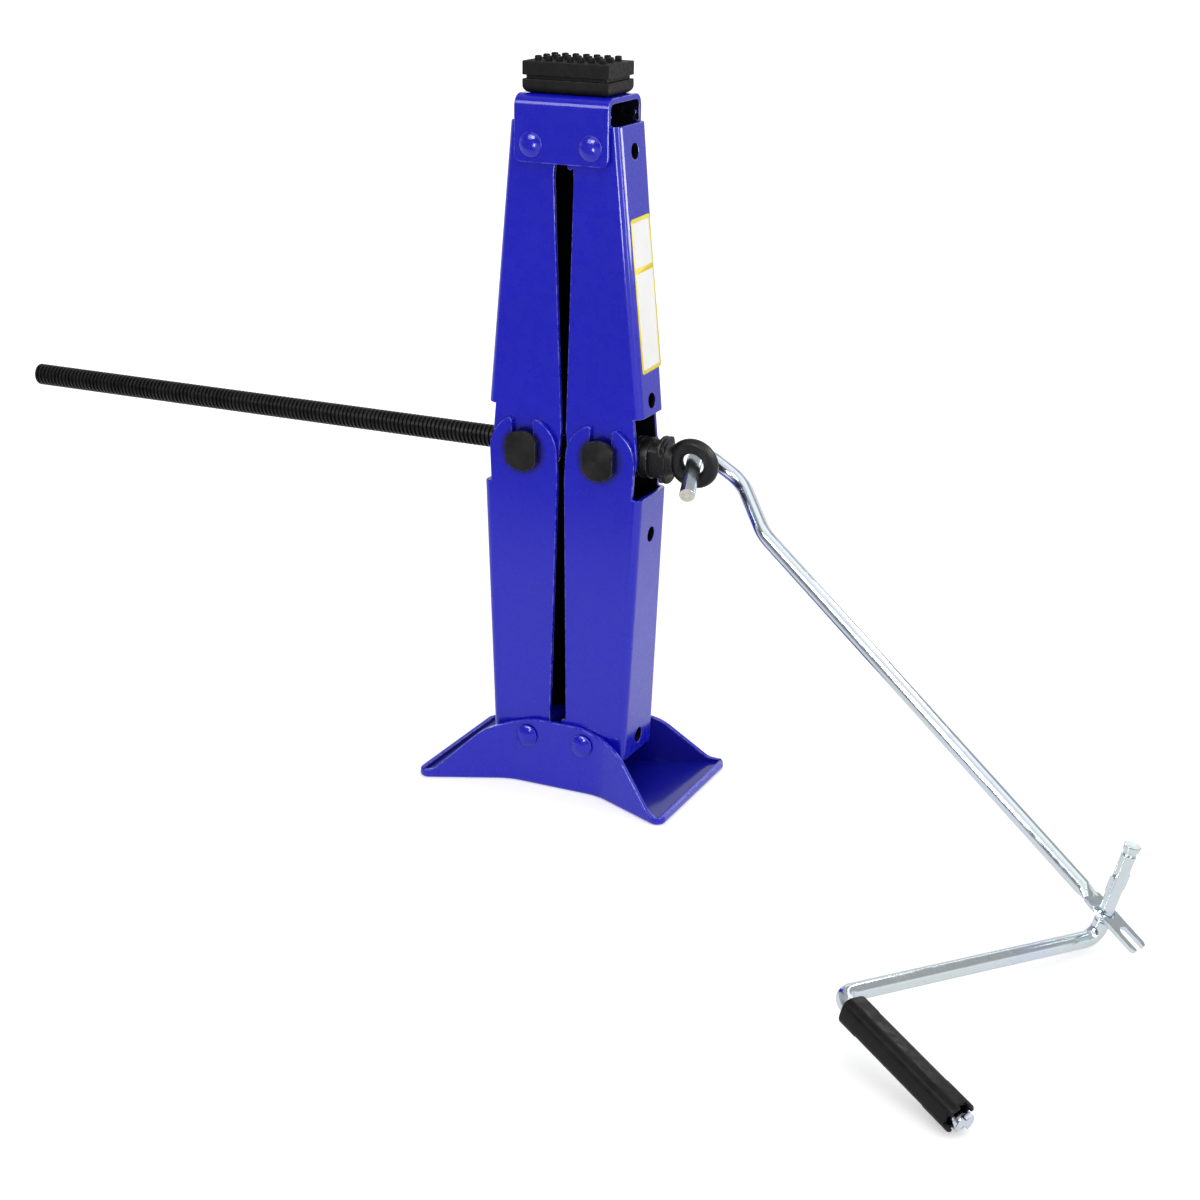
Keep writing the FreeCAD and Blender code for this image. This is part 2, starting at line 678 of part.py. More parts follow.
def make_saddle_pad():
    body = new_body("saddle_pad")
    plan = sketch_on(body, "plan", "XY_Plane")
    rectangle(plan, "sizes.pad_length", "sizes.pad_width")
    pad(body, "block", plan, "sizes.pad_height", symmetric=False)
    round_edges(body, "lower_rim", "sizes.pad_edge_radius", lambda edge: edge.BoundBox.ZMax < 0.01)

    middle = number("sizes.pad_height / 2")
    groove = sketch_on(body, "groove", "XY_Plane", Placement(Vector(0, 0, middle), Rotation()))
    groove.setExpression("AttachmentOffset.Base.z", "sizes.pad_height / 2")
    rectangle(groove, "2 * sizes.pad_length", "2 * sizes.pad_length")
    rectangle(groove, "(sizes.pad_length - 2 * sizes.pad_groove_depth)",
              "(sizes.pad_width - 2 * sizes.pad_groove_depth)")
    ring = body.newObject("PartDesign::Pocket", "groove_cut")
    ring.Profile = groove
    ring.setExpression("Length", "sizes.pad_groove")
    ring.SideType = "Symmetric"
    doc.recompute()

    columns = int(number("sizes.stud_columns"))
    for row in (-1, 0, 1):
        level = Placement(Vector(0, 0, number("sizes.pad_height")), Rotation())
        stud = sketch_on(body, f"stud_{row + 2}", "XY_Plane", level)
        stud.setExpression("AttachmentOffset.Base.z", "sizes.pad_height")
        left = "(-(sizes.stud_columns - 1) / 2 * sizes.stud_pitch - sizes.stud_size / 2)"
        low = f"({row} * sizes.stud_row_pitch - sizes.stud_size / 2)"
        right = f"({left} + sizes.stud_size)"
        high = f"({low} + sizes.stud_size)"
        polygon(stud, [(left, low), (right, low), (right, high), (left, high)])
        one = pad(body, f"stud_row_{row + 2}", stud, "sizes.stud_height", symmetric=False)
        line = body.newObject("PartDesign::LinearPattern", f"stud_line_{row + 2}")
        line.Originals = [one]
        line.Direction = (stud, ["H_Axis"])
        line.setExpression("Length", "(sizes.stud_columns - 1) * sizes.stud_pitch")
        line.Occurrences = columns
        body.Tip = line
        doc.recompute()

    peg = sketch_on(body, "peg", "XY_Plane")
    circle(peg, "0", "0", "sizes.peg_radius")
    post = pad(body, "peg_post", peg, "sizes.bracket_sheet + sizes.peg_reach", symmetric=False)
    post.Reversed = True
    doc.recompute()
    body.Placement = Placement(Vector(0, 0, number(f"{TOP_PIVOT} + sizes.bracket_rise")), Rotation())


make_bracket()
make_saddle_pad()


# Pivot rivets with a domed head at each end

def make_rivet(label, seat, across, height):
    body = new_body(label)
    profile = sketch_on(body, "profile", "XY_Plane")
    rim = f"({seat} + sizes.rivet_rim)"
    crown = f"({seat} + sizes.rivet_head)"
    rise = "(sizes.rivet_head - sizes.rivet_rim)"
    dome = f"((sizes.rivet_head_radius^2 + {rise}^2) / (2 * {rise}))"
    stations = [
        ("sizes.rivet_radius", seat),
        ("sizes.rivet_head_radius", seat),
        ("sizes.rivet_head_radius", rim),
        ("0", crown),
    ]
    mirrored = [(radius, f"-{height}") for radius, height in reversed(stations)]
    polygon(profile, mirrored + stations, arcs={0: dome, 6: dome})
    revolve(body, "turned", profile, "V_Axis")
    body.Placement = Placement(Vector(number(across), 0, number(height)), Rotation())


for rivet_side, rivet_sign in (("left", "-"), ("right", "")):
    place = f"{rivet_sign}sizes.pivot_spacing / 2"
    make_rivet(f"base_pivot_rivet_{rivet_side}", BASE_SEAT, place, "sizes.base_pivot_height")
    make_rivet(f"top_pivot_rivet_{rivet_side}", BRACKET_OUTER, place, TOP_PIVOT)


# Trunnions: the elbow pins that the screw passes through

def make_trunnion(label, sign, seat_sides):
    body = new_body(label)
    front = f"({TRUNNION_SEAT} + sizes.trunnion_head_thickness)"
    profile = sketch_on(body, "profile", "XY_Plane")
    stations = [
        ("sizes.trunnion_radius", TRUNNION_CORE),
        ("sizes.trunnion_neck", TRUNNION_CORE),
        ("sizes.trunnion_neck", TRUNNION_SEAT),
        ("sizes.trunnion_head", TRUNNION_SEAT),
        ("sizes.trunnion_head", front),
        ("0", front),
    ]
    mirrored = [(radius, f"-{height}") for radius, height in reversed(stations)]
    polygon(profile, mirrored + stations)
    revolve(body, "turned", profile, "V_Axis")

    seat = number(TRUNNION_SEAT)
    reach = "2 * sizes.trunnion_radius"
    for end, outwards in ((seat, True), (-seat, False)):
        flats = sketch_on(body, "flats", "XZ_Plane", Placement(Vector(0, 0, end), Rotation()))
        for side in ("", "-"):
            polygon(flats, [
                (f"{side}sizes.trunnion_flat", f"-{reach}"),
                (f"{side}{reach}", f"-{reach}"),
                (f"{side}{reach}", reach),
                (f"{side}sizes.trunnion_flat", reach),
            ])
        pocket_beyond(body, "flat_cut", flats, reversed_way=outwards)

    faces = sketch_on(body, "faces", "XZ_Plane")
    for side in seat_sides:
        polygon(faces, [
            (f"{side}sizes.trunnion_seat", f"-{reach}"),
            (f"{side}{reach}", f"-{reach}"),
            (f"{side}{reach}", reach),
            (f"{side}sizes.trunnion_seat", reach),
        ])
    pocket_through(body, "face_cut", faces)
    bore = sketch_on(body, "bore", "YZ_Plane")
    circle(bore, "0", "0", SCREW_BORE)
    pocket_through(body, "bore_cut", bore)
    elbow = Vector(sign * number("sizes.elbow_spacing / 2"), 0, number("sizes.screw_height"))
    body.Placement = Placement(elbow, Rotation())


make_trunnion("nut_trunnion", -1, ("", "-"))
make_trunnion("bearing_trunnion", 1, ("", "-"))


# Screw, thrust bearing and eye, all about the screw's axis

def on_screw_axis(along):
    return Placement(Vector(number(along), 0, number("sizes.screw_height")), Rotation())


def make_screw():
    body = new_body("lead_screw")
    right = f"({EYE_CENTRE} - {SOCKET_END} - sizes.socket_gap)"
    profile = sketch_on(body, "profile", "XZ_Plane")
    polygon(profile, [
        ("-sizes.screw_left", "0"),
        (right, "0"),
        (right, "sizes.screw_radius"),
        ("-(sizes.screw_left - sizes.screw_chamfer)", "sizes.screw_radius"),
        ("-sizes.screw_left", "(sizes.screw_radius - sizes.screw_chamfer)"),
    ])
    revolve(body, "bar", profile, "H_Axis")
    hole = sketch_on(body, "pin_hole", "XY_Plane")
    circle(hole, f"{HUB_FACE} + sizes.hub_length / 2", "0", "sizes.cross_pin_radius + sizes.press_clearance")
    pocket_through(body, "pin_cut", hole)
    axis_height = Vector(0, 0, number("sizes.screw_height"))
    body.Placement = Placement(axis_height, Rotation(AXIS_X, number("sizes.eye_spin")))


def make_ring(label, start, length, bore, radius):
    """A plain ring on the screw's axis."""
    body = new_body(label)
    profile = sketch_on(body, "profile", "XZ_Plane")
    polygon(profile, [("0", bore), (length, bore), (length, radius), ("0", radius)])
    revolve(body, "ring", profile, "H_Axis")
    body.Placement = on_screw_axis(start)
    return body


def make_bearing():
    inner_face = f"({BEARING_FACE} + sizes.race_thickness)"
    ball_plane = f"({inner_face} + {BALL_SPACE} / 2)"
    outer_face = f"({inner_face} + {BALL_SPACE})"
    make_ring("thrust_race_inner", BEARING_FACE, "sizes.race_thickness", SCREW_BORE, RACE_RADIUS)
    make_ring("thrust_race_outer", outer_face, "sizes.race_thickness", SCREW_BORE, RACE_RADIUS)

    cage = make_ring("ball_cage", f"({ball_plane} - sizes.cage_thickness / 2)", "sizes.cage_thickness",
                     SCREW_BORE, RACE_RADIUS)
    hole = sketch_on(cage, "ball_hole", "YZ_Plane")
    circle(hole, BALL_CIRCLE, "0", "sizes.ball_radius + sizes.pivot_clearance")
    one = pocket_through(cage, "ball_cut", hole)
    holes = cage.newObject("PartDesign::PolarPattern", "ball_cuts")
    holes.Originals = [one]
    holes.Axis = (hole, ["N_Axis"])
    holes.Angle = 360
    holes.Occurrences = int(number("sizes.ball_count"))
    cage.Tip = holes
    doc.recompute()

    count = int(number("sizes.ball_count"))
    balls = []
    for index in range(count):
        ball = doc.addObject("Part::Sphere", "ball")
        ball.setExpression("Radius", "sizes.ball_radius")
        spoke = Rotation(AXIS_X, index * 360 / count).multVec(Vector(0, number(BALL_CIRCLE), 0))
        ball.Placement = Placement(spoke, Rotation())
        balls.append(ball)
    group = doc.addObject("Part::Compound", "thrust_balls")
    group.Label = "thrust_balls"
    group.Links = balls
    group.Placement = on_screw_axis(ball_plane)
    pieces.append(group)


def make_eye():
    body = new_body("drive_eye")
    hub_start = "-(sizes.eye_neck + sizes.collar_length + sizes.hub_length)"
    collar_start = "-(sizes.eye_neck + sizes.collar_length)"
    bore = "(sizes.screw_radius + sizes.press_clearance)"
    profile = sketch_on(body, "stem", "XZ_Plane")
    polygon(profile, [
        (hub_start, bore),
        (hub_start, "sizes.hub_radius"),
        (collar_start, "sizes.hub_radius"),
        (collar_start, "sizes.collar_radius"),
        ("-sizes.eye_neck", "sizes.collar_radius"),
        ("-sizes.eye_neck", "(sizes.collar_radius + sizes.eye_neck_radius) / 2"),
        ("-sizes.eye_ring", "sizes.eye_neck_radius"),
        ("-sizes.eye_ring", "0"),
        (f"-{SOCKET_END}", "0"),
        (f"-{SOCKET_END}", bore),
    ])
    revolve(body, "stem_turned", profile, "H_Axis")
    bar = sketch_on(body, "bar", "XY_Plane")
    circle(bar, "sizes.eye_ring", "0", "sizes.eye_bar")
    revolve(body, "ring", bar, "V_Axis")
    hole = sketch_on(body, "pin_hole", "XY_Plane")
    circle(hole, f"{hub_start} + sizes.hub_length / 2", "0", "sizes.cross_pin_radius + sizes.press_clearance")
    pocket_through(body, "pin_cut", hole)
    eye = Vector(number(EYE_CENTRE), 0, number("sizes.screw_height"))
    body.Placement = Placement(eye, Rotation(AXIS_X, number("sizes.eye_spin")))


def make_cross_pin():
    body = new_body("eye_cross_pin")
    section = sketch_on(body, "section", "XY_Plane")
    circle(section, "0", "0", "sizes.cross_pin_radius")
    pad(body, "pin", section, "2 * sizes.hub_radius - 2 * sizes.press_clearance")
    middle = Vector(number(f"{HUB_FACE} + sizes.hub_length / 2"), 0, number("sizes.screw_height"))
    body.Placement = Placement(middle, Rotation(AXIS_X, number("sizes.eye_spin")))


make_screw()
make_bearing()
make_eye()
make_cross_pin()


# Bent rods

def bent_path(points, radii):
    """Straight runs through the points, with an arc of the given radius at each inner point."""
    edges = []
    start = points[0]
    for index, radius in enumerate(radii, start=1):
        corner = points[index]
        back = (points[index - 1] - corner).normalize()
        ahead = (points[index + 1] - corner).normalize()
        half_angle = back.getAngle(ahead) / 2
        tangent = radius / math.tan(half_angle)
        enter = corner + back * tangent
        leave = corner + ahead * tangent
        bisector = (back + ahead).normalize()
        centre = corner + bisector * (radius / math.sin(half_angle))
        middle = centre - bisector * radius
        edges.append(Part.LineSegment(start, enter).toShape())
        edges.append(Part.Arc(enter, middle, leave).toShape())
        start = leave
    edges.append(Part.LineSegment(start, points[-1]).toShape())
    return Part.Wire(edges)


def bent_rod(name, points, radii):
    """A round rod along a bent path."""
    path = doc.addObject("Part::Feature", f"{name}_path")
    path.Shape = bent_path(points, radii)
    section = doc.addObject("Part::Circle", f"{name}_section")
    section.setExpression("Radius", "sizes.rod_radius")
    section.Placement = Placement(points[0], Rotation(AXIS_Z, points[1] - points[0]))
    rod = doc.addObject("Part::Sweep", f"{name}_bar")
    rod.Sections = [section]
    rod.Spine = (path, [f"Edge{index + 1}" for index in range(len(path.Shape.Edges))])
    rod.Solid = True
    rod.Transition = "Right corner"
    doc.recompute()
    return rod


def fused(label, shapes):
    piece = doc.addObject("Part::MultiFuse", label)
    piece.Label = label
    piece.Shapes = shapes
    doc.recompute()
    pieces.append(piece)
    return piece


def cylinder(name, radius, length, placement):
    piece = doc.addObject("Part::Cylinder", name)
    piece.setExpression("Radius", radius)
    piece.setExpression("Height", length)
    piece.Placement = placement
    return piece


def hook_placement():
    """The hook hangs in the eye and slopes down until its flat end lies near the floor."""
    hang = number(f"sizes.screw_height - {HOOK_DROP}")
    fall = hang - number("sizes.hook_rest_height")
    pitch = math.degrees(math.asin(fall / number("sizes.shank_length")))
    return Placement(Vector(number(EYE_CENTRE), 0, hang), Rotation(number("sizes.hook_yaw"), pitch, 0))


def blade_turn():
    """The twist of the flat end about the middle line of the shank."""
    shank = Vector(0, number("sizes.shank_offset"), 0)
    return Placement(Vector(), Rotation(AXIS_X, number("sizes.blade_twist")), shank)


def make_blade():
    """The flattened end of the hook rod, with a hole for the crank and a forked tip."""
    blade = doc.addObject("PartDesign::Body", "blade")
    start = "(sizes.shank_length - sizes.blade_start)"
    end = "(sizes.shank_length + sizes.blade_end)"
    low = "(sizes.shank_offset - sizes.blade_width / 2)"
    high = "(sizes.shank_offset + sizes.blade_width / 2)"
    plan = sketch_on(blade, "plan", "XY_Plane")
    polygon(plan, [(start, low), (end, low), (end, high), (start, high)])
    pad(blade, "plate", plan, "sizes.blade_thickness")
    round_edges(blade, "corners", f"{CORNER_ROUND} * sizes.blade_width",
                lambda edge: runs_along(edge, AXIS_Z))
    hole = sketch_on(blade, "hole", "XY_Plane")
    circle(hole, "sizes.shank_length", "sizes.shank_offset", BLADE_HOLE)
    pocket_through(blade, "hole_cut", hole)
    fork = sketch_on(blade, "fork", "XY_Plane")
    inner = f"({end} - sizes.fork_depth)"
    beyond = f"({end} + sizes.fork_depth)"
    fork_low = "(sizes.shank_offset - sizes.fork_slot / 2)"
    fork_high = "(sizes.shank_offset + sizes.fork_slot / 2)"
    polygon(fork, [(inner, fork_low), (beyond, fork_low), (beyond, fork_high), (inner, fork_high)])
    pocket_through(blade, "fork_cut", fork)
    throat = [Vector(number(inner), number(fork_low), 0), Vector(number(inner), number(fork_high), 0)]
    round_edges(blade, "throat", f"{FULL_ROUND} * sizes.fork_slot",
                lambda edge: edge_at(edge, AXIS_Z, throat))
    blade.Placement = blade_turn()
    return blade


def make_hook():
    tip = number("sizes.hook_tip")
    angle = math.radians(number("sizes.hook_tip_angle"))
    way = Vector(math.cos(angle), -math.sin(angle), 0)
    offset = number("sizes.shank_offset")
    swage_start = number("sizes.shank_length - sizes.blade_start - sizes.blade_swage")
    points = [
        way * tip,
        way * -number("sizes.hook_return"),
        Vector(number("sizes.hook_crest_along"), number("sizes.hook_crest_across"), 0),
        Vector(number("sizes.hook_elbow_along"), offset, 0),
        Vector(swage_start, offset, 0),
    ]
    radii = [number(f"sizes.hook_{place}_radius") for place in ("return", "crest", "elbow")]
    rod = bent_rod("hook", points, radii)

    round_end = doc.addObject("Part::Circle", "swage_round")
    round_end.setExpression("Radius", "sizes.rod_radius")
    round_end.Placement = Placement(Vector(swage_start, offset, 0), Rotation(AXIS_Z, AXIS_X))
    flat_end = doc.addObject("Part::Ellipse", "swage_flat")
    flat_end.setExpression("MajorRadius", "sizes.blade_width / 2")
    flat_end.setExpression("MinorRadius", "sizes.blade_thickness / 2")
    flat_along = number(f"sizes.shank_length - (sizes.blade_start + {BLADE_HOLE}) / 2")
    level = Placement(Vector(flat_along, offset, 0), Rotation(AXIS_Y, AXIS_Z, AXIS_X, "XYZ"))
    flat_end.Placement = blade_turn().multiply(level)
    swage = doc.addObject("Part::Loft", "swage")
    swage.Sections = [round_end, flat_end]
    swage.Solid = True
    doc.recompute()

    piece = fused("hook_rod", [rod, swage, make_blade()])
    piece.Placement = hook_placement()


def crank_placement():
    """The crank's own frame: its bend, with the arm along x, the spindle along y, the drive along z."""
    turn = Rotation(number("sizes.crank_yaw"), number("sizes.crank_pitch"), number("sizes.crank_roll"))
    hole = Vector(number("sizes.shank_length"), number("sizes.shank_offset"), 0)
    below = turn.multVec(Vector(0, 0, number("sizes.crank_below")))
    return Placement(hook_placement().multVec(hole) - below, turn)


def make_crank():
    arm = number("sizes.crank_arm")
    shoulder = number("sizes.crank_below - sizes.drive_shoulder")
    neck_end = number("sizes.crank_below + sizes.crank_above - sizes.drive_head_length")
    spindle_end = number("sizes.crank_spindle - sizes.swage_length")
    bend = number("sizes.crank_bend")
    points = [Vector(0, 0, shoulder), Vector(0, 0, 0), Vector(arm, 0, 0), Vector(arm, spindle_end, 0)]
    rod = bent_rod("crank", points, [bend, bend])
    drive_run = ("sizes.drive_shoulder + sizes.crank_above - sizes.drive_head_length"
                 " - sizes.drive_neck_length")
    drive = cylinder("drive", "sizes.drive_radius", drive_run, Placement(Vector(0, 0, shoulder), Rotation()))
    neck_start = neck_end - number("sizes.drive_neck_length")
    neck = cylinder("drive_neck", "sizes.drive_neck_radius", "sizes.drive_neck_length",
                    Placement(Vector(0, 0, neck_start), Rotation()))
    head = cylinder("drive_head", "sizes.drive_head_radius", "sizes.drive_head_length",
                    Placement(Vector(0, 0, neck_end), Rotation()))
    swage = cylinder("spindle_swage", "sizes.swage_radius", "sizes.swage_length",
                     Placement(Vector(arm, spindle_end, 0), Rotation(AXIS_Z, AXIS_Y)))
    wings = doc.addObject("Part::Box", "wings")
    wings.setExpression("Length", "sizes.wing_span")
    wings.setExpression("Width", "sizes.wing_thickness")
    wings.setExpression("Height", "sizes.wing_length")
    corner = Vector(-number("sizes.wing_span / 2"), -number("sizes.wing_thickness / 2"),
                    number("sizes.crank_below + sizes.wing_above"))
    wings.Placement = Placement(corner, Rotation())
    piece = fused("crank_rod", [rod, drive, neck, head, swage, wings])
    piece.Placement = crank_placement()


def make_grip():
    body = new_body("grip_sleeve")
    length = f"({GRIP_END} - sizes.grip_start)"
    spans = [
        ("sleeve", "sizes.grip_half", "sizes.grip_start", length),
        ("near_collar", "sizes.grip_collar_half", "sizes.grip_start", "sizes.grip_collar_length"),
        ("far_collar", "sizes.grip_collar_half", f"({GRIP_END} - sizes.grip_collar_length)",
         "sizes.grip_collar_length"),
    ]
    for name, half, start, run in spans:
        level = Placement(Vector(number("sizes.crank_arm"), 0, -number(start)), Rotation())
        section = sketch_on(body, name, "XZ_Plane", level)
        section.setExpression("AttachmentOffset.Base.x", "sizes.crank_arm")
        section.setExpression("AttachmentOffset.Base.z", f"-{start}")
        polygon(section, [(f"-{half}", f"-{half}"), (half, f"-{half}"), (half, half), (f"-{half}", half)])
        block = pad(body, f"{name}_block", section, run, symmetric=False)
        block.Reversed = True
        doc.recompute()
    round_edges(body, "corners", "sizes.grip_corner_radius", lambda edge: runs_along(edge, AXIS_Y))
    bore = sketch_on(body, "bore", "XZ_Plane")
    circle(bore, "sizes.crank_arm", "0", "sizes.rod_radius + sizes.grip_clearance")
    pocket_through(body, "bore_cut", bore)
    body.Placement = crank_placement()


make_hook()
make_crank()
make_grip()


# Test and export

doc.recompute()
for item in doc.Objects:
    if "Invalid" in item.State or "Error" in item.State:
        raise RuntimeError(f"{item.Label} failed: {item.State}")
for piece in pieces:
    if piece.Shape.isNull() or not piece.Shape.isValid():
        raise RuntimeError(f"{piece.Label} has no valid shape")

os.makedirs("parts", exist_ok=True)
for piece in pieces:
    piece.Shape.exportStep(f"parts/{piece.Label}.step")
    box = piece.Shape.BoundBox
    print(f"{piece.Label}: {len(piece.Shape.Solids)} solid, {piece.Shape.Volume:.0f} mm3, "
          f"z {box.ZMin:.2f} to {box.ZMax:.2f}")
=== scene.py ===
# %% [markdown]
# A blue scissor jack with a folding crank
#
# The solids of the jack are already built in millimetres and packed as a frame of named nodes. This lesson
# dresses that frame: it rounds the edges of the pressed sheet, cuts the thread, forges the eye, moulds the
# grip and the rubber pad, and gives every piece a finish made from shader nodes. Everything stays in metres
# and in the frame's own axes: X along the screw, Z up, the floor at zero.

# %% Loading the frame
import json
import math

import bmesh
import bpy
from mathutils import Matrix, Quaternion, Vector
from mathutils.bvhtree import BVHTree


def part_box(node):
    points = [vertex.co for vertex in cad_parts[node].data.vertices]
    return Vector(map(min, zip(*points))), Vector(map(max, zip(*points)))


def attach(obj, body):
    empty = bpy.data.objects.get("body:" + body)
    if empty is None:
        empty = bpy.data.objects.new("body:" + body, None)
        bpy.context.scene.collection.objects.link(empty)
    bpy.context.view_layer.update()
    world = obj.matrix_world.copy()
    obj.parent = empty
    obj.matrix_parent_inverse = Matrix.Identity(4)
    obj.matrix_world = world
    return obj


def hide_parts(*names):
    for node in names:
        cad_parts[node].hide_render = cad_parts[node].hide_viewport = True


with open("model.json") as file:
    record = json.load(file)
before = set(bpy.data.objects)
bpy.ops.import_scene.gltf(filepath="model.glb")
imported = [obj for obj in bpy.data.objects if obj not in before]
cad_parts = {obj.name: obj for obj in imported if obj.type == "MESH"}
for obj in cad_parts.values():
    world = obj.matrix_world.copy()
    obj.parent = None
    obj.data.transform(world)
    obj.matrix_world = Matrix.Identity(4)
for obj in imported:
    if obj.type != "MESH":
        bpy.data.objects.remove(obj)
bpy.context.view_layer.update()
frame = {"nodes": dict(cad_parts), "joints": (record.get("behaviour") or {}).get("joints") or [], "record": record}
MM = 0.001
AXIS_X = Vector((1, 0, 0))
AXIS_Z = Vector((0, 0, 1))
BODY_OF = {node: body for body, nodes in frame["record"]["behaviour"]["bodies"].items() for node in nodes}
JOINTS = {joint["name"]: joint for joint in frame["joints"]}


def joint_place(name):
    return Vector(JOINTS[name]["pos_m"])


def joint_axis(name):
    return Vector(JOINTS[name]["axis"]).normalized()


# %% [markdown]
# Camera
#
# The jack stands a little over a metre from the lens, and the lens looks down on it by about nineteen
# degrees. A camera could be aimed with a constraint, but then its roll would be hard to set. Here a
# quaternion aims the lens along the line of sight, and a second, small turn about that line gives the roll.

# %% Camera
LENS_PLACE = Vector((476.44, -985.11, 484.19)) * MM
LENS_AZIMUTH = math.radians(25.083)
LENS_ELEVATION = math.radians(19.357)
LENS_ROLL = math.radians(0.707)
IMAGE_SIDE = 1200
FOCAL_PIXELS = 2171.9
SENSOR_SIDE = 36
NEAREST = 0.01
FARTHEST = 200


def add_camera():
    data = bpy.data.cameras.new("photo_camera")
    data.sensor_width = SENSOR_SIDE
    data.lens = FOCAL_PIXELS * SENSOR_SIDE / IMAGE_SIDE
    data.clip_start = NEAREST
    data.clip_end = FARTHEST
    camera = bpy.data.objects.new("photo_camera", data)
    bpy.context.scene.collection.objects.link(camera)
    level = math.cos(LENS_ELEVATION)
    back = Vector((math.sin(LENS_AZIMUTH) * level, -math.cos(LENS_AZIMUTH) * level, math.sin(LENS_ELEVATION)))
    camera.location = LENS_PLACE
    camera.rotation_mode = "QUATERNION"
    camera.rotation_quaternion = (-back).to_track_quat("-Z", "Y") @ Quaternion(AXIS_Z, LENS_ROLL)
    bpy.context.scene.camera = camera
    return camera


camera = add_camera()
bpy.context.scene.view_settings.view_transform = "Standard"
print("lens", round(camera.data.lens, 2), "mm at", [round(c, 3) for c in camera.location])

# %% [markdown]
# Node helpers
#
# Every finish in this lesson is a small tree of shader nodes. Nodes can be placed by hand in the editor, but
# a script can repeat them. These helpers make a node with its values set, do sums on sockets and ease a value
# from one range to another, so that the trees further down read almost like formulas.

# %% Node helpers
def link(tree, source, target):
    tree.links.new(source, target)


def shader_node(tree, kind, **values):
    """A node with some of its inputs or properties set by name."""
    made = tree.nodes.new(kind)
    for name, value in values.items():
        if name in made.inputs:
            made.inputs[name].default_value = value
        else:
            setattr(made, name, value)
    return made


def math_node(tree, operation, *operands):
    """A Math node; each operand is a number or a socket."""
    made = shader_node(tree, "ShaderNodeMath", operation=operation)
    for place, operand in zip(made.inputs, operands):
        if isinstance(operand, (int, float)):
            place.default_value = operand
        else:
            link(tree, operand, place)
    return made.outputs[0]


def ranged(tree, value, low, high, at_low=0.0, at_high=1.0):
    """Eases from one value to another while the input goes from low to high."""
    made = shader_node(tree, "ShaderNodeMapRange", interpolation_type="SMOOTHSTEP")
    for name, number in zip(("From Min", "From Max", "To Min", "To Max"), (low, high, at_low, at_high)):
        made.inputs[name].default_value = number
    link(tree, value, made.inputs["Value"])
    return made.outputs["Result"]


def position(tree, output="Object"):
    """X, Y and Z sockets of a texture coordinate."""
    place = tree.nodes.new("ShaderNodeTexCoord")
    parts = tree.nodes.new("ShaderNodeSeparateXYZ")
    link(tree, place.outputs[output], parts.inputs[0])
    return parts.outputs


def mixed_shader(tree, share, first, second):
    """Goes from the first shader to the second with the share."""
    made = tree.nodes.new("ShaderNodeMixShader")
    for place, source in zip(made.inputs, (share, first, second)):
        link(tree, source, place)
    return made.outputs[0]


def seen_directly(tree):
    """Two sockets: one for rays from the camera, one for rays that a mirror or glass sends on."""
    path = tree.nodes.new("ShaderNodeLightPath")
    mirror = math_node(tree, "MAXIMUM", path.outputs["Is Glossy Ray"], path.outputs["Is Transmission Ray"])
    return path.outputs["Is Camera Ray"], mirror


print("node helpers are ready")

# %% [markdown]
# Floor
#
# The jack was photographed on a white sweep. A white floor that is only lit goes grey where light falls off,
# so the floor adds a little glow of its own, but only for rays from the camera and for mirror rays. The rest
# of its brightness comes from the lamps, and that part still takes the jack's soft shadow. What a glossy
# piece mirrors matters as much as the light on it. The sweep ends a little way in front of the jack and
# behind it, so mirror rays find the floor white near the crank, and dim towards the camera and the back.

# %% Floor
WHITE = (1, 1, 1, 1)
FLOOR_RADIUS = 40
FLOOR_SIDES = 64
FLOOR_COLOUR = (0.86, 0.86, 0.86, 1)
FLOOR_GLOW = 0.42
FRONT_EDGE = (-0.30, -0.65)
FRONT_SIDE = (0.20, 0.05)
FRONT_DIM = (0.35, 0.80)
BACK_EDGE = (0.15, 0.85)
BACK_DIM = (0.30, 0.60)


def floor_finish():
    material = bpy.data.materials.new("white_sweep")
    material.use_nodes = True
    tree = material.node_tree
    tree.nodes.clear()
    camera_ray, mirror_ray = seen_directly(tree)
    glow = shader_node(tree, "ShaderNodeEmission", Color=WHITE)
    shown = math_node(tree, "MAXIMUM", camera_ray, mirror_ray)
    link(tree, math_node(tree, "MULTIPLY", shown, FLOOR_GLOW), glow.inputs["Strength"])
    matt = shader_node(tree, "ShaderNodeBsdfDiffuse", Color=FLOOR_COLOUR)
    both = tree.nodes.new("ShaderNodeAddShader")
    link(tree, matt.outputs[0], both.inputs[0])
    link(tree, glow.outputs[0], both.inputs[1])
    place = position(tree)
    front = math_node(tree, "MULTIPLY", ranged(tree, place["Y"], *FRONT_EDGE, *FRONT_DIM),
                      ranged(tree, place["X"], *FRONT_SIDE))
    behind = ranged(tree, place["Y"], *BACK_EDGE, *BACK_DIM)
    dim = math_node(tree, "MAXIMUM", front, behind)
    dark = shader_node(tree, "ShaderNodeEmission", Strength=0)
    share = math_node(tree, "MULTIPLY", mirror_ray, dim)
    output = tree.nodes.new("ShaderNodeOutputMaterial")
    link(tree, mixed_shader(tree, share, both.outputs[0], dark.outputs[0]), output.inputs["Surface"])
    return material


def add_floor():
    bm = bmesh.new()
    bmesh.ops.create_circle(bm, cap_ends=True, radius=FLOOR_RADIUS, segments=FLOOR_SIDES)
    mesh = bpy.data.meshes.new("floor")
    bm.to_mesh(mesh)
    bm.free()
    mesh.materials.append(floor_finish())
    floor = bpy.data.objects.new("floor", mesh)
    bpy.context.scene.collection.objects.link(floor)
    return floor


floor = add_floor()
print(floor.name, "of", 2 * FLOOR_RADIUS, "m across")

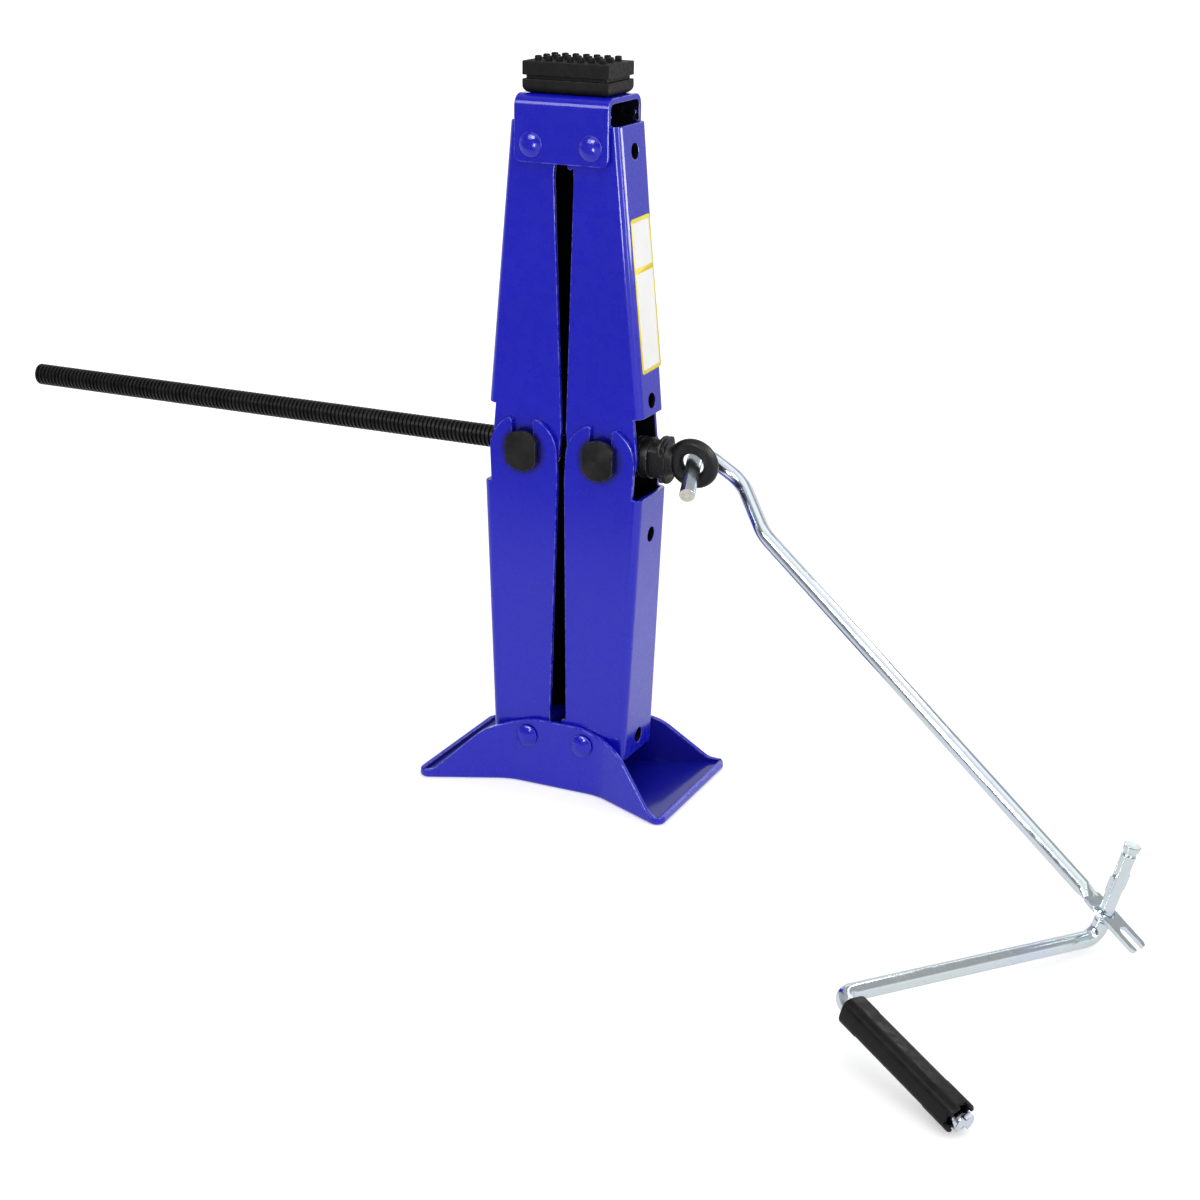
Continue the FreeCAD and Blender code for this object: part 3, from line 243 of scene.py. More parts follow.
# %% [markdown]
# Sky
#
# The world stands for the room. It lights everything evenly, shows plain white to the camera, and gives
# mirror rays a picture of their own: white at the horizon, dim overhead and towards the camera. One
# brightness for all would be simpler, but this keeps the enamel deep blue and gives the rods a grey back and
# a white belly.

# %% Sky
SKY_LIGHT = 0.62
SKY_RISE = (0.05, 0.30)
SKY_HEIGHT_SEEN = (1.0, 0.42)
SKY_TURN = (-0.6, 0.1)
SKY_DEPTH_SEEN = (0.30, 1.0)


def add_sky():
    world = bpy.data.worlds.new("studio")
    bpy.context.scene.world = world
    world.use_nodes = True
    tree = world.node_tree
    tree.nodes.clear()
    camera_ray, mirror_ray = seen_directly(tree)
    way = position(tree, "Generated")
    height = ranged(tree, way["Z"], *SKY_RISE, *SKY_HEIGHT_SEEN)
    depth = ranged(tree, way["Y"], *SKY_TURN, *SKY_DEPTH_SEEN)
    lighting = shader_node(tree, "ShaderNodeBackground", Color=WHITE, Strength=SKY_LIGHT)
    reflected = shader_node(tree, "ShaderNodeBackground", Color=WHITE)
    link(tree, math_node(tree, "MULTIPLY", height, depth), reflected.inputs["Strength"])
    plain = shader_node(tree, "ShaderNodeBackground", Color=WHITE, Strength=1)
    unseen = mixed_shader(tree, mirror_ray, lighting.outputs[0], reflected.outputs[0])
    output = tree.nodes.new("ShaderNodeOutputWorld")
    link(tree, mixed_shader(tree, camera_ray, unseen, plain.outputs[0]), output.inputs["Surface"])


add_sky()
print("sky lights at", SKY_LIGHT)

# %% [markdown]
# Lamps
#
# A sun lamp with a wide disc works as a soft box that lights the whole floor evenly, so the white does not
# fade. Area lamps stand for the panels round the jack. They show only in reflections: the one above the
# camera puts the spark on each rivet, the one to its left lies along the fold of the bracket, the tall one to
# the right draws lines on the rods, and two low strips draw the pair of bright lines on the upright folds.
# The one behind brightens the flat end of the hook rod and the floor of the tray. Matt surfaces do not see
# them at all.

# %% Lamps
SUN_FROM = Vector((0.35, -0.25, 1.0))
SUN_STRENGTH = 1.05
SUN_DISC = math.radians(85)
PANELS = [
    ("key_panel", Vector((-0.12, -1.42, 1.22)), 0.46, 0.40, 9.0),
    ("fold_panel", Vector((-0.60, -1.30, 1.22)), 0.60, 0.60, 6.0),
    ("right_panel", Vector((1.5, -0.75, 0.75)), 0.35, 1.3, 10.5),
    ("front_strip", Vector((0.04, -0.52, 0.265)), 0.09, 0.13, 0.58),
    ("side_strip", Vector((0.27, 0.08, 0.315)), 0.16, 0.09, 0.55),
    ("back_panel", Vector((-0.02, 1.25, 0.69)), 1.0, 0.28, 0.75),
]
PANEL_AIM = Vector((0, 0, 0.25))


def aimed(name, data, place, aim):
    """A lamp at one place that looks at another."""
    lamp = bpy.data.objects.new(name, data)
    bpy.context.scene.collection.objects.link(lamp)
    lamp.location = place
    lamp.rotation_mode = "QUATERNION"
    lamp.rotation_quaternion = (aim - place).to_track_quat("-Z", "Y")
    return lamp


sun = bpy.data.lights.new("soft_box", "SUN")
sun.energy = SUN_STRENGTH
sun.angle = SUN_DISC
aimed("soft_box", sun, SUN_FROM, Vector((0, 0, 0)))
for name, place, width, height, power in PANELS:
    panel = bpy.data.lights.new(name, "AREA")
    panel.shape = "RECTANGLE"
    panel.size = width
    panel.size_y = height
    panel.energy = power
    lamp = aimed(name, panel, place, PANEL_AIM)
    lamp.visible_diffuse = False
    lamp.visible_camera = False
print("one soft box and", len(PANELS), "panels")

# %% [markdown]
# Shared effects
#
# Real finishes share a few effects: paint is thin on an edge, sprayed or plated surfaces ripple a little,
# dust gathers on what faces up. Each effect is one node group, so that every finish can use it with its own
# values. A group could hold the whole shader, but it is easier to reuse when it only gives masks and heights.

# %% Group helpers
EFFECTS = {}


def new_group(name, inputs, output):
    """A node group with number sockets, kept by its name."""
    tree = bpy.data.node_groups.new(name, "ShaderNodeTree")
    for socket, default in inputs:
        made = tree.interface.new_socket(socket, in_out="INPUT", socket_type="NodeSocketFloat")
        made.default_value = default
    tree.interface.new_socket(output, in_out="OUTPUT", socket_type="NodeSocketFloat")
    EFFECTS[name] = tree
    print("effect", name, "gives a", output.lower())
    return tree, tree.nodes.new("NodeGroupInput").outputs, tree.nodes.new("NodeGroupOutput").inputs[output]


def object_noise(tree, scale, detail, roughness=0.5):
    """Noise on object coordinates; the scale is a socket."""
    place = tree.nodes.new("ShaderNodeTexCoord")
    noise = shader_node(tree, "ShaderNodeTexNoise", Detail=detail, Roughness=roughness)
    link(tree, place.outputs["Object"], noise.inputs["Vector"])
    link(tree, scale, noise.inputs["Scale"])
    return noise.outputs["Fac"]


print("group helpers are ready")

# %% [markdown]
# Wear and dust
#
# Wear shows on edges that hands and tools rub. A shader could look for edges itself, but the edge rounding
# further down already knows them and leaves an attribute on the faces it makes. The wear group reads that
# attribute and breaks it up with noise. Dust settles on what faces up, so its group reads the upward part of
# the normal.

# %% Wear and dust
ROUNDED = "rounded"
WEAR_PATCHES = (0.40, 0.62)
FACING_UP = (0.3, 0.95)
DUST_CLOUDS = (0.42, 0.75)


def wear_group():
    tree, inside, mask = new_group("edge_wear", [("Amount", 0.5), ("Scale", 180)], "Mask")
    edge = shader_node(tree, "ShaderNodeAttribute", attribute_name=ROUNDED)
    patches = ranged(tree, object_noise(tree, inside["Scale"], detail=5, roughness=0.65), *WEAR_PATCHES)
    both = math_node(tree, "MULTIPLY", edge.outputs["Fac"], patches)
    link(tree, math_node(tree, "MULTIPLY", both, inside["Amount"]), mask)


def dust_group():
    tree, inside, mask = new_group("dust", [("Amount", 0.2), ("Scale", 90)], "Mask")
    shape = tree.nodes.new("ShaderNodeNewGeometry")
    parts = tree.nodes.new("ShaderNodeSeparateXYZ")
    link(tree, shape.outputs["Normal"], parts.inputs[0])
    upward = ranged(tree, parts.outputs["Z"], *FACING_UP)
    cloud = ranged(tree, object_noise(tree, inside["Scale"], detail=6, roughness=0.7), *DUST_CLOUDS)
    settled = math_node(tree, "MULTIPLY", upward, cloud)
    link(tree, math_node(tree, "MULTIPLY", settled, inside["Amount"]), mask)


wear_group()
dust_group()

# %% [markdown]
# Ripple, mottle and pin distance
#
# Ripple adds fine noise to coarse noise and gives a height. Mottle gives soft patches between two limits. The
# pin distance is the way from the nearer elbow pin, for turning marks on the pin and for the darker ring on
# the sheet round it. The two elbows mirror each other, so the absolute value of X serves both.

# %% Ripple, mottle and pin distance
def ripple_group():
    tree, inside, height = new_group("ripple", [("Coarse", 260), ("Fine", 1400), ("Share", 0.35)], "Height")
    coarse = object_noise(tree, inside["Coarse"], detail=1.5)
    fine = object_noise(tree, inside["Fine"], detail=2)
    link(tree, math_node(tree, "ADD", coarse, math_node(tree, "MULTIPLY", fine, inside["Share"])), height)


def mottle_group():
    tree, inside, mask = new_group("mottle", [("Scale", 60), ("Low", 0.35), ("High", 0.65)], "Mask")
    made = shader_node(tree, "ShaderNodeMapRange", interpolation_type="SMOOTHSTEP")
    link(tree, object_noise(tree, inside["Scale"], detail=4, roughness=0.6), made.inputs["Value"])
    link(tree, inside["Low"], made.inputs["From Min"])
    link(tree, inside["High"], made.inputs["From Max"])
    link(tree, made.outputs["Result"], mask)


def pin_group():
    tree, inside, distance = new_group("pin_distance", [("Across", 0.02), ("Up", 0.2)], "Distance")
    place = position(tree)
    across = math_node(tree, "SUBTRACT", math_node(tree, "ABSOLUTE", place["X"]), inside["Across"])
    up = math_node(tree, "SUBTRACT", place["Z"], inside["Up"])
    squares = [math_node(tree, "MULTIPLY", side, side) for side in (across, up)]
    link(tree, math_node(tree, "SQRT", math_node(tree, "ADD", *squares)), distance)


ripple_group()
mottle_group()
pin_group()

# %% [markdown]
# Finishes
#
# Each finish starts from a Principled shader. A helper places an effect group in the material, another mixes
# two colours by a mask, and a third turns a height into a normal. The finishes then differ only in their
# values.

# %% Finish helpers
ELBOW = joint_place("bearing_level")
FINISHES = {}
# A Mix node has sockets for several kinds of data; these are the ones for colours.
MIX_COLOURS = (6, 7)
MIX_RESULT = 2


def new_finish(name, **values):
    """A Principled material, kept by its name."""
    material = bpy.data.materials.new(name)
    material.use_nodes = True
    tree = material.node_tree
    shader = tree.nodes["Principled BSDF"]
    for socket, value in values.items():
        shader.inputs[socket.replace("_", " ")].default_value = value
    FINISHES[name] = material
    print("finish", name)
    return tree, shader


def effect(tree, name, **values):
    """Places an effect group in a finish and gives its output."""
    made = tree.nodes.new("ShaderNodeGroup")
    made.node_tree = EFFECTS[name]
    for socket, value in values.items():
        made.inputs[socket].default_value = value
    return made.outputs[0]


def pin_distance(tree):
    """How far a point is from the axis of the nearer elbow pin."""
    return effect(tree, "pin_distance", Across=ELBOW.x, Up=ELBOW.z)


def blend_colour(tree, mask, first, second):
    """Mixes two colours by a mask; each is a tuple or a socket."""
    made = shader_node(tree, "ShaderNodeMix", data_type="RGBA")
    link(tree, mask, made.inputs[0])
    for index, colour in zip(MIX_COLOURS, (first, second)):
        if isinstance(colour, tuple):
            made.inputs[index].default_value = colour
        else:
            link(tree, colour, made.inputs[index])
    return made.outputs[MIX_RESULT]


def blend_value(tree, mask, low, high):
    """A value that goes from low to high with the mask."""
    made = tree.nodes.new("ShaderNodeMapRange")
    made.inputs["To Min"].default_value = low
    made.inputs["To Max"].default_value = high
    link(tree, mask, made.inputs["Value"])
    return made.outputs["Result"]


def bumped(tree, shader, height, depth, strength):
    """Feeds a height, as deep as the given length, into the shader's normal."""
    bump = shader_node(tree, "ShaderNodeBump", Strength=strength, Distance=depth)
    link(tree, height, bump.inputs["Height"])
    link(tree, bump.outputs["Normal"], shader.inputs["Normal"])


def skin(tree, shader, colour, grain, rough, ripple, depth, strength):
    """Sets the colour, a mottled roughness and a rippled normal."""
    coarse, fine, share = ripple
    link(tree, colour, shader.inputs["Base Color"])
    link(tree, blend_value(tree, effect(tree, "mottle", Scale=grain), *rough), shader.inputs["Roughness"])
    bumped(tree, shader, effect(tree, "ripple", Coarse=coarse, Fine=fine, Share=share), depth, strength)


print("elbow pins sit", round(ELBOW.x / MM, 1), "mm off the middle,", round(ELBOW.z / MM, 1), "mm up")

# %% [markdown]
# Blue enamel
#
# The pressed parts are stove-enamelled: a deep, even blue with a glossy skin that ripples slightly, as
# sprayed paint does. On sharp edges the coat draws thin and looks paler, round the elbow pins the blue is
# darker in a soft ring, and deep inside the channels it takes painted shade, near black and matt. A coat
# layer gives the clear gloss, while the layer below stays softer, so that highlights have a bright core and a
# wider glow.

# %% Blue enamel
PAINTED_SHADE_MARK = "sheltered"
HALO = (10.2 * MM, 14.5 * MM)
HALO_DEPTH = 0.75
INSIDE_ROUGHNESS = 0.8
INSIDE_COAT = 0.1


def blue_enamel():
    tree, shader = new_finish("blue_enamel", Coat_Roughness=0.11, Specular_IOR_Level=0.15)
    deep = (0.0036, 0.0050, 0.585, 1)
    light = (0.0042, 0.0058, 0.615, 1)
    thin = (0.17, 0.19, 0.74, 1)
    dusty = (0.09, 0.10, 0.42, 1)
    ring_dark = (0.003, 0.003, 0.05, 1)
    painted_shade_inside = (0.0008, 0.0008, 0.006, 1)
    body = blend_colour(tree, effect(tree, "mottle", Scale=28.0), deep, light)
    worn = blend_colour(tree, effect(tree, "edge_wear", Amount=0.7, Scale=240.0), body, thin)
    dusted = blend_colour(tree, effect(tree, "dust", Amount=0.08), worn, dusty)
    # A soft darker ring on the sheet round each elbow pin.
    halo = ranged(tree, pin_distance(tree), *HALO, HALO_DEPTH, 0.0)
    ringed = blend_colour(tree, halo, dusted, ring_dark)
    # Painted shade: faces marked as closed in are painted near black, matt and with little coat.
    painted_shade = shader_node(tree, "ShaderNodeAttribute", attribute_name=PAINTED_SHADE_MARK).outputs["Fac"]
    link(tree, blend_colour(tree, painted_shade, ringed, painted_shade_inside), shader.inputs["Base Color"])
    grain = blend_value(tree, effect(tree, "mottle", Scale=150.0), low=0.24, high=0.36)
    dull = math_node(tree, "MULTIPLY", painted_shade, INSIDE_ROUGHNESS)
    link(tree, math_node(tree, "MAXIMUM", grain, dull), shader.inputs["Roughness"])
    link(tree, blend_value(tree, painted_shade, low=1.0, high=INSIDE_COAT), shader.inputs["Coat Weight"])
    ripple = effect(tree, "ripple", Coarse=330.0, Fine=1500.0, Share=0.25)
    bumped(tree, shader, ripple, depth=0.05 * MM, strength=0.5)


blue_enamel()

# %% [markdown]
# Blackened steel
#
# The screw, the pins and the forged eye are blacked in hot oil. The finish is a thin oxide: dark and satin,
# with brown-grey patches where it has rubbed through. Forged pieces are rougher than turned ones, so the
# finish takes its grain and depth as values. The elbow pins also show the rings that the turning tool left on
# their ends.

# %% Blackened steel
TURNING_PITCH = 0.55 * MM
TURNING_SHARE = 0.7


def blackened_steel(name, grain, depth, low, high, turning_marks=False):
    tree, shader = new_finish(name, Metallic=0.4)
    soot = (0.006, 0.006, 0.0065, 1)
    oil = (0.014, 0.014, 0.0145, 1)
    bare = (0.13, 0.125, 0.12, 1)
    dusty = (0.06, 0.059, 0.057, 1)
    body = blend_colour(tree, effect(tree, "mottle", Scale=120.0), soot, oil)
    worn = blend_colour(tree, effect(tree, "edge_wear", Amount=0.6, Scale=420.0), body, bare)
    link(tree, blend_colour(tree, effect(tree, "dust", Amount=0.16, Scale=140.0), worn, dusty),
         shader.inputs["Base Color"])
    link(tree, blend_value(tree, effect(tree, "mottle", Scale=300.0), low, high), shader.inputs["Roughness"])
    height = effect(tree, "ripple", Coarse=grain, Fine=4 * grain, Share=0.5)
    if turning_marks:
        angle = math_node(tree, "MULTIPLY", pin_distance(tree), 2 * math.pi / TURNING_PITCH)
        rings = math_node(tree, "MULTIPLY", math_node(tree, "SINE", angle), TURNING_SHARE)
        height = math_node(tree, "ADD", height, rings)
    bumped(tree, shader, height, depth, strength=0.6)


blackened_steel("forged_black", grain=620.0, depth=0.16 * MM, low=0.36, high=0.56)
blackened_steel("turned_black", grain=1500.0, depth=0.05 * MM, low=0.28, high=0.44)
blackened_steel("turned_pin", grain=1500.0, depth=0.05 * MM, low=0.28, high=0.40, turning_marks=True)

# %% [markdown]
# Bright zinc
#
# The hook rod and the crank are drawn bar with a bright zinc plating. Clear passivation leaves a faint blue
# and green cast that drifts along the bar, and handling leaves fine scuffs. On the edges of the flattened
# ends the plating is thin and dark. It is a full metal, so its colour is its reflection, and the drift only
# tints it. Where the bar was sheared off, the end stays bare and creamy.

# %% Bright zinc
def bright_zinc():
    tree, shader = new_finish("bright_zinc", Metallic=1.0)
    blue_cast = (0.72, 0.78, 0.90, 1)
    green_cast = (0.74, 0.82, 0.83, 1)
    dull = (0.58, 0.62, 0.70, 1)
    thin_edge = (0.20, 0.23, 0.33, 1)
    body = blend_colour(tree, effect(tree, "mottle", Scale=22.0), blue_cast, green_cast)
    scuffed = blend_colour(tree, effect(tree, "mottle", Scale=420.0, Low=0.55, High=0.85), body, dull)
    edged = blend_colour(tree, effect(tree, "edge_wear", Amount=0.9, Scale=300.0), scuffed, thin_edge)
    skin(tree, shader, edged, grain=160.0, rough=(0.12, 0.2),
         ripple=(420.0, 2600.0, 0.4), depth=0.02 * MM, strength=0.3)


def sheared_steel():
    tree, shader = new_finish("sheared_steel", Metallic=0.35)
    cream = (0.80, 0.78, 0.68, 1)
    grey = (0.62, 0.60, 0.53, 1)
    body = blend_colour(tree, effect(tree, "mottle", Scale=700.0), cream, grey)
    skin(tree, shader, body, grain=900.0, rough=(0.4, 0.6),
         ripple=(1200.0, 4200.0, 0.5), depth=0.05 * MM, strength=0.5)


bright_zinc()
sheared_steel()

# %% [markdown]
# Rubber, grip plastic and bearing steel
#
# The saddle pad is moulded rubber, matt with a bloom of pale dust on its studs. The grip is a hard black
# plastic with a satin skin from its mould. Both are nearly black, so roughness and a fine grain tell them
# apart. The balls of the thrust bearing are ground steel, a bright metal with hardly any grain.

# %% Rubber, plastic and bearing steel
def saddle_rubber():
    tree, shader = new_finish("saddle_rubber", Specular_IOR_Level=0.22)
    black = (0.0030, 0.0030, 0.0028, 1)
    grey = (0.0070, 0.0070, 0.0066, 1)
    bloom = (0.032, 0.031, 0.029, 1)
    body = blend_colour(tree, effect(tree, "mottle", Scale=200.0), black, grey)
    scuffed = blend_colour(tree, effect(tree, "edge_wear", Amount=0.4, Scale=350.0), body, bloom)
    dusted = blend_colour(tree, effect(tree, "dust", Amount=0.25, Scale=220.0), scuffed, bloom)
    skin(tree, shader, dusted, grain=500.0, rough=(0.48, 0.7),
         ripple=(900.0, 3200.0, 0.6), depth=0.06 * MM, strength=0.6)


def grip_plastic():
    tree, shader = new_finish("grip_plastic", Specular_IOR_Level=0.2)
    black = (0.0020, 0.0020, 0.0022, 1)
    grey = (0.0048, 0.0048, 0.0050, 1)
    rub_and_sheen = (0.018, 0.018, 0.020, 1)
    body = blend_colour(tree, effect(tree, "mottle", Scale=130.0), black, grey)
    # The edges go paler: partly rubbed by hands, partly a painted sheen.
    rubbed_and_sheened = blend_colour(tree, effect(tree, "edge_wear", Amount=0.4, Scale=420.0), body, rub_and_sheen)
    skin(tree, shader, rubbed_and_sheened, grain=260.0, rough=(0.36, 0.52),
         ripple=(1300.0, 4200.0, 0.5), depth=0.05 * MM, strength=0.5)


def bearing_steel():
    tree, shader = new_finish("bearing_steel", Metallic=1.0)
    dark = (0.5, 0.51, 0.53, 1)
    bright = (0.62, 0.62, 0.62, 1)
    body = blend_colour(tree, effect(tree, "mottle", Scale=300.0), dark, bright)
    skin(tree, shader, body, grain=800.0, rough=(0.1, 0.2),
         ripple=(1500.0, 5000.0, 0.4), depth=0.01 * MM, strength=0.3)


saddle_rubber()
grip_plastic()
bearing_steel()

# %% [markdown]
# Label film
#
# A blank sticker sits on the upper arm: white plastic film with a printed yellow frame. Film yellows and
# scuffs a little, so both inks take a faint mottle, and a thin coat keeps them glossier than paper. Both inks
# also emit a trace of their own colour, a painted glow that makes the white whiter than plain white.

# %% Label film
PAINTED_GLOW = 0.12


def label_film(name, fresh, aged):
    tree, shader = new_finish(name, Coat_Weight=0.3, Coat_Roughness=0.2, Emission_Strength=PAINTED_GLOW)
    body = blend_colour(tree, effect(tree, "mottle", Scale=90.0), fresh, aged)
    # Painted glow: the film also emits its own colour, so it shows brighter than its lighting makes it.
    link(tree, body, shader.inputs["Emission Color"])
    skin(tree, shader, body, grain=400.0, rough=(0.35, 0.5),
         ripple=(500.0, 2400.0, 0.3), depth=0.02 * MM, strength=0.3)


label_film("label_white", (0.97, 0.97, 0.96, 1), (0.94, 0.94, 0.92, 1))
label_film("label_yellow", (0.94, 0.77, 0.006, 1), (0.88, 0.68, 0.008, 1))

# %% [markdown]
# Pressed sheet with rounded edges
#
# A solid from the frame has knife edges, and nothing real has: sheet is deburred, then the enamel pools over
# the corner. A shader trick could fake the highlight, but only geometry shows it in the outline. So each
# pressed part is copied, its loose triangles are merged and its flat areas made whole, and the sharp outer
# edges are bevelled. The faces that the bevel makes carry the wear attribute. The large flat faces stay
# flat-shaded, because a smooth normal would bend the reflection across them.

# %% Edge rounding
MERGE_DISTANCE = 0.002 * MM
SAME_PLANE = math.radians(0.4)
SHARP = math.radians(32)
FLAT_AREA = 120 * MM * MM
QUAD_CORNERS = 4
ROUND_SEGMENTS = 2


def merged_copy(node):
    """A bmesh of a solid, with its vertices merged and its flat faces joined."""
    bm = bmesh.new()
    bm.from_mesh(frame["nodes"][node].data)
    bmesh.ops.remove_doubles(bm, verts=bm.verts, dist=MERGE_DISTANCE)
    bmesh.ops.dissolve_limit(bm, angle_limit=SAME_PLANE, verts=bm.verts, edges=bm.edges)
    bmesh.ops.recalc_face_normals(bm, faces=bm.faces)
    return bm


def round_off(bm, width):
    """Bevels the sharp outer edges and marks the new faces as rounded."""
    mark = bm.faces.layers.float.get(ROUNDED) or bm.faces.layers.float.new(ROUNDED)
    edges = [edge for edge in bm.edges
             if edge.is_manifold and edge.is_convex and edge.calc_face_angle() > SHARP]
    made = bmesh.ops.bevel(bm, geom=edges, offset=width, offset_type="OFFSET", affect="EDGES",
                           segments=ROUND_SEGMENTS, profile=0.5, material=-1,
                           clamp_overlap=False, loop_slide=True)
    for face in made["faces"]:
        face[mark] = 1.0
    bmesh.ops.dissolve_degenerate(bm, dist=MERGE_DISTANCE, edges=bm.edges)
    return len(edges)


def dressed(name, bm, body, slot, finishes, *nodes):
    """Makes the bmesh a shaded piece that rides on a body and stands for some solids."""
    for face in bm.faces:
        face.smooth = len(face.verts) <= QUAD_CORNERS or face.calc_area() < FLAT_AREA
    mesh = bpy.data.meshes.new(name)
    bm.to_mesh(mesh)
    bm.free()
    if "custom_normal" in mesh.attributes:
        mesh.attributes.remove(mesh.attributes["custom_normal"])
    for finish in finishes:
        mesh.materials.append(FINISHES[finish])
    mesh.set_sharp_from_angle(angle=SHARP)
    piece = bpy.data.objects.new(name, mesh)
    bpy.context.scene.collection.objects.link(piece)
    normals = piece.modifiers.new("flat_faces_stay_flat", "WEIGHTED_NORMAL")
    normals.keep_sharp = True
    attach(piece, body)
    if nodes:
        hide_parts(*nodes)
    return piece


print("edges sharper than", round(math.degrees(SHARP)), "degrees get rounded")

# %% [markdown]
# Painted shade inside the channels
#
# The inside of each channel is painted dark, as shade. Painting that by hand would tie it to one shape, so
# every face of a channel feels for its neighbours: one ray goes straight out and eight go out on a cone. The
# more of them meet the part itself, the more the face counts as sheltered, and the darker and more matt the
# painted shade on the enamel there. The flanks of the gear teeth also feel for the bracket or the tray that
# they run in.

# %% Sheltered faces
SHELTER_REACH = 80 * MM
SHELTER_TILT = math.radians(50)
SHELTER_OPEN = 0.15
SHELTER_CLOSED = 0.45
SHELTER_COUNTED = 0.4
TRAY_PAINTED_SHADE = 0.5
FEELER_LIFT = 0.05 * MM
FEELERS_ROUND = 8
SIDEWAYS = 0.5
HOUSED_IN = {
    "lower_arm_left": ["base_plate"],
    "lower_arm_right": ["base_plate"],
    "upper_arm_left": ["saddle_bracket"],
    "upper_arm_right": ["saddle_bracket"],
}


def feelers(normal):
    """The normal, and eight directions tilted away from it."""
    tilted = Quaternion(normal.orthogonal().normalized(), SHELTER_TILT) @ normal
    turns = [Quaternion(normal, 2 * math.pi * step / FEELERS_ROUND) for step in range(FEELERS_ROUND)]
    return [normal] + [turn @ tilted for turn in turns]


def joined_tree(nodes):
    """One search tree over the triangles of several solids."""
    verts, faces = [], []
    for node in nodes:
        mesh = frame["nodes"][node].data
        faces += [[len(verts) + index for index in face.vertices] for face in mesh.polygons]
        verts += [vert.co for vert in mesh.vertices]
    return BVHTree.FromPolygons(verts, faces)


def mark_painted_shade(bm, node, most):
    """Marks each face with how closed in it is, up to the given value; the enamel paints shade by this mark."""
    mark = bm.faces.layers.float.new(PAINTED_SHADE_MARK)
    alone = joined_tree([node])
    housed = joined_tree([node] + HOUSED_IN.get(node, []))
    for face in bm.faces:
        start = face.calc_center_median_weighted() + face.normal * FEELER_LIFT
        ways = feelers(face.normal)
        tree = alone if abs(face.normal.y) > SIDEWAYS else housed
        met = sum(tree.ray_cast(start, way, SHELTER_REACH)[0] is not None for way in ways) / len(ways)
        face[mark] = most * min(1.0, max(0.0, (met - SHELTER_OPEN) / (SHELTER_CLOSED - SHELTER_OPEN)))
    return sum(face[mark] > SHELTER_COUNTED for face in bm.faces)


print("feelers reach", round(SHELTER_REACH / MM), "mm")

# %% [markdown]
# Pressed parts and rivets
#
# Six pressed parts and four rivets go through the same steps, so one loop dresses them all. A rivet's head is
# small, and its edge takes less rounding than the sheet's. The tray is open at its ends, so its painted shade
# inside is never as dark as a channel's.

# %% Pressed parts and rivets
SHEET_ROUND = 0.55 * MM
RIVET_ROUND = 0.2 * MM
PRESSED = ["base_plate", "lower_arm_left", "lower_arm_right", "upper_arm_left", "upper_arm_right",
           "saddle_bracket"]
RIVETS = [node for node in BODY_OF if "pivot_rivet" in node]
for node in PRESSED + RIVETS:
    bm = merged_copy(node)
    # Each face is marked with how much painted shade the enamel gives it.
    painted_shade = mark_painted_shade(bm, node, TRAY_PAINTED_SHADE if node == "base_plate" else 1.0)
    count = round_off(bm, RIVET_ROUND if node in RIVETS else SHEET_ROUND)
    piece = dressed(f"{node}_enamelled", bm, BODY_OF[node], "blue_enamel", ["blue_enamel"], node)
    print(piece.name, "rounded", count, "edges,", painted_shade, "faces sheltered")

# %% [markdown]
# Blank label
#
# The upper arm carries a tall sticker. It is one grid face: its corners are rounded with a vertex bevel, a
# cut parts the head field from the main field, and an inset of both makes the printed frame. The web under it
# is found as the largest face of the arm that looks along the screw, so the label sits on it exactly.

# %% Label
LABEL_WIDTH = 23 * MM
LABEL_HEIGHT = 78 * MM
LABEL_HEAD = 26 * MM
LABEL_CORNER = 1.8 * MM
LABEL_FRAME = 2.0 * MM
LABEL_ABOVE_ELBOW = 82 * MM
LABEL_SHIFT = 1.4 * MM
LABEL_LEAN = math.radians(1.5)
LABEL_THICK = 0.12 * MM
ALONG_SCREW = 0.97
CORNER_SEGMENTS = 5


def whole(bm):
    """All that a bmesh holds, for operators that want one list."""
    return bm.verts[:] + bm.edges[:] + bm.faces[:]


def rounded_sheet(width, height, corner):
    """A flat face round the origin, its corners rounded with a vertex bevel."""
    bm = bmesh.new()
    bmesh.ops.create_grid(bm, x_segments=1, y_segments=1, size=0.5)
    bmesh.ops.scale(bm, vec=(width, height, 1), verts=bm.verts)
    bmesh.ops.bevel(bm, geom=bm.verts[:], offset=corner, offset_type="OFFSET", affect="VERTICES",
                    segments=CORNER_SEGMENTS, profile=0.5, material=-1)
    return bm


def label_place():
    """The label's own axes: across, up the web, and out of it."""
    bm = merged_copy("upper_arm_right")
    web = max((face for face in bm.faces if face.normal.x > ALONG_SCREW), key=lambda face: face.calc_area())
    out = web.normal.copy()
    up = (AXIS_Z - out * out.z).normalized()
    foot = ELBOW + out * (web.verts[0].co - ELBOW).dot(out)
    bm.free()
    place = Matrix((up.cross(out), up, out)).transposed().to_4x4()
    place.translation = foot + up * LABEL_ABOVE_ELBOW + up.cross(out) * LABEL_SHIFT + out * LABEL_THICK
    return place @ Matrix.Rotation(LABEL_LEAN, 4, "Z")


def make_label():
    bm = rounded_sheet(LABEL_WIDTH, LABEL_HEIGHT, LABEL_CORNER)
    head_line = (0, LABEL_HEIGHT / 2 - LABEL_HEAD, 0)
    bmesh.ops.bisect_plane(bm, geom=whole(bm), plane_co=head_line, plane_no=(0, 1, 0))
    for face in bmesh.ops.inset_individual(bm, faces=bm.faces[:], thickness=LABEL_FRAME)["faces"]:
        face.material_index = 1
    bmesh.ops.transform(bm, matrix=label_place(), verts=bm.verts)
    return bm


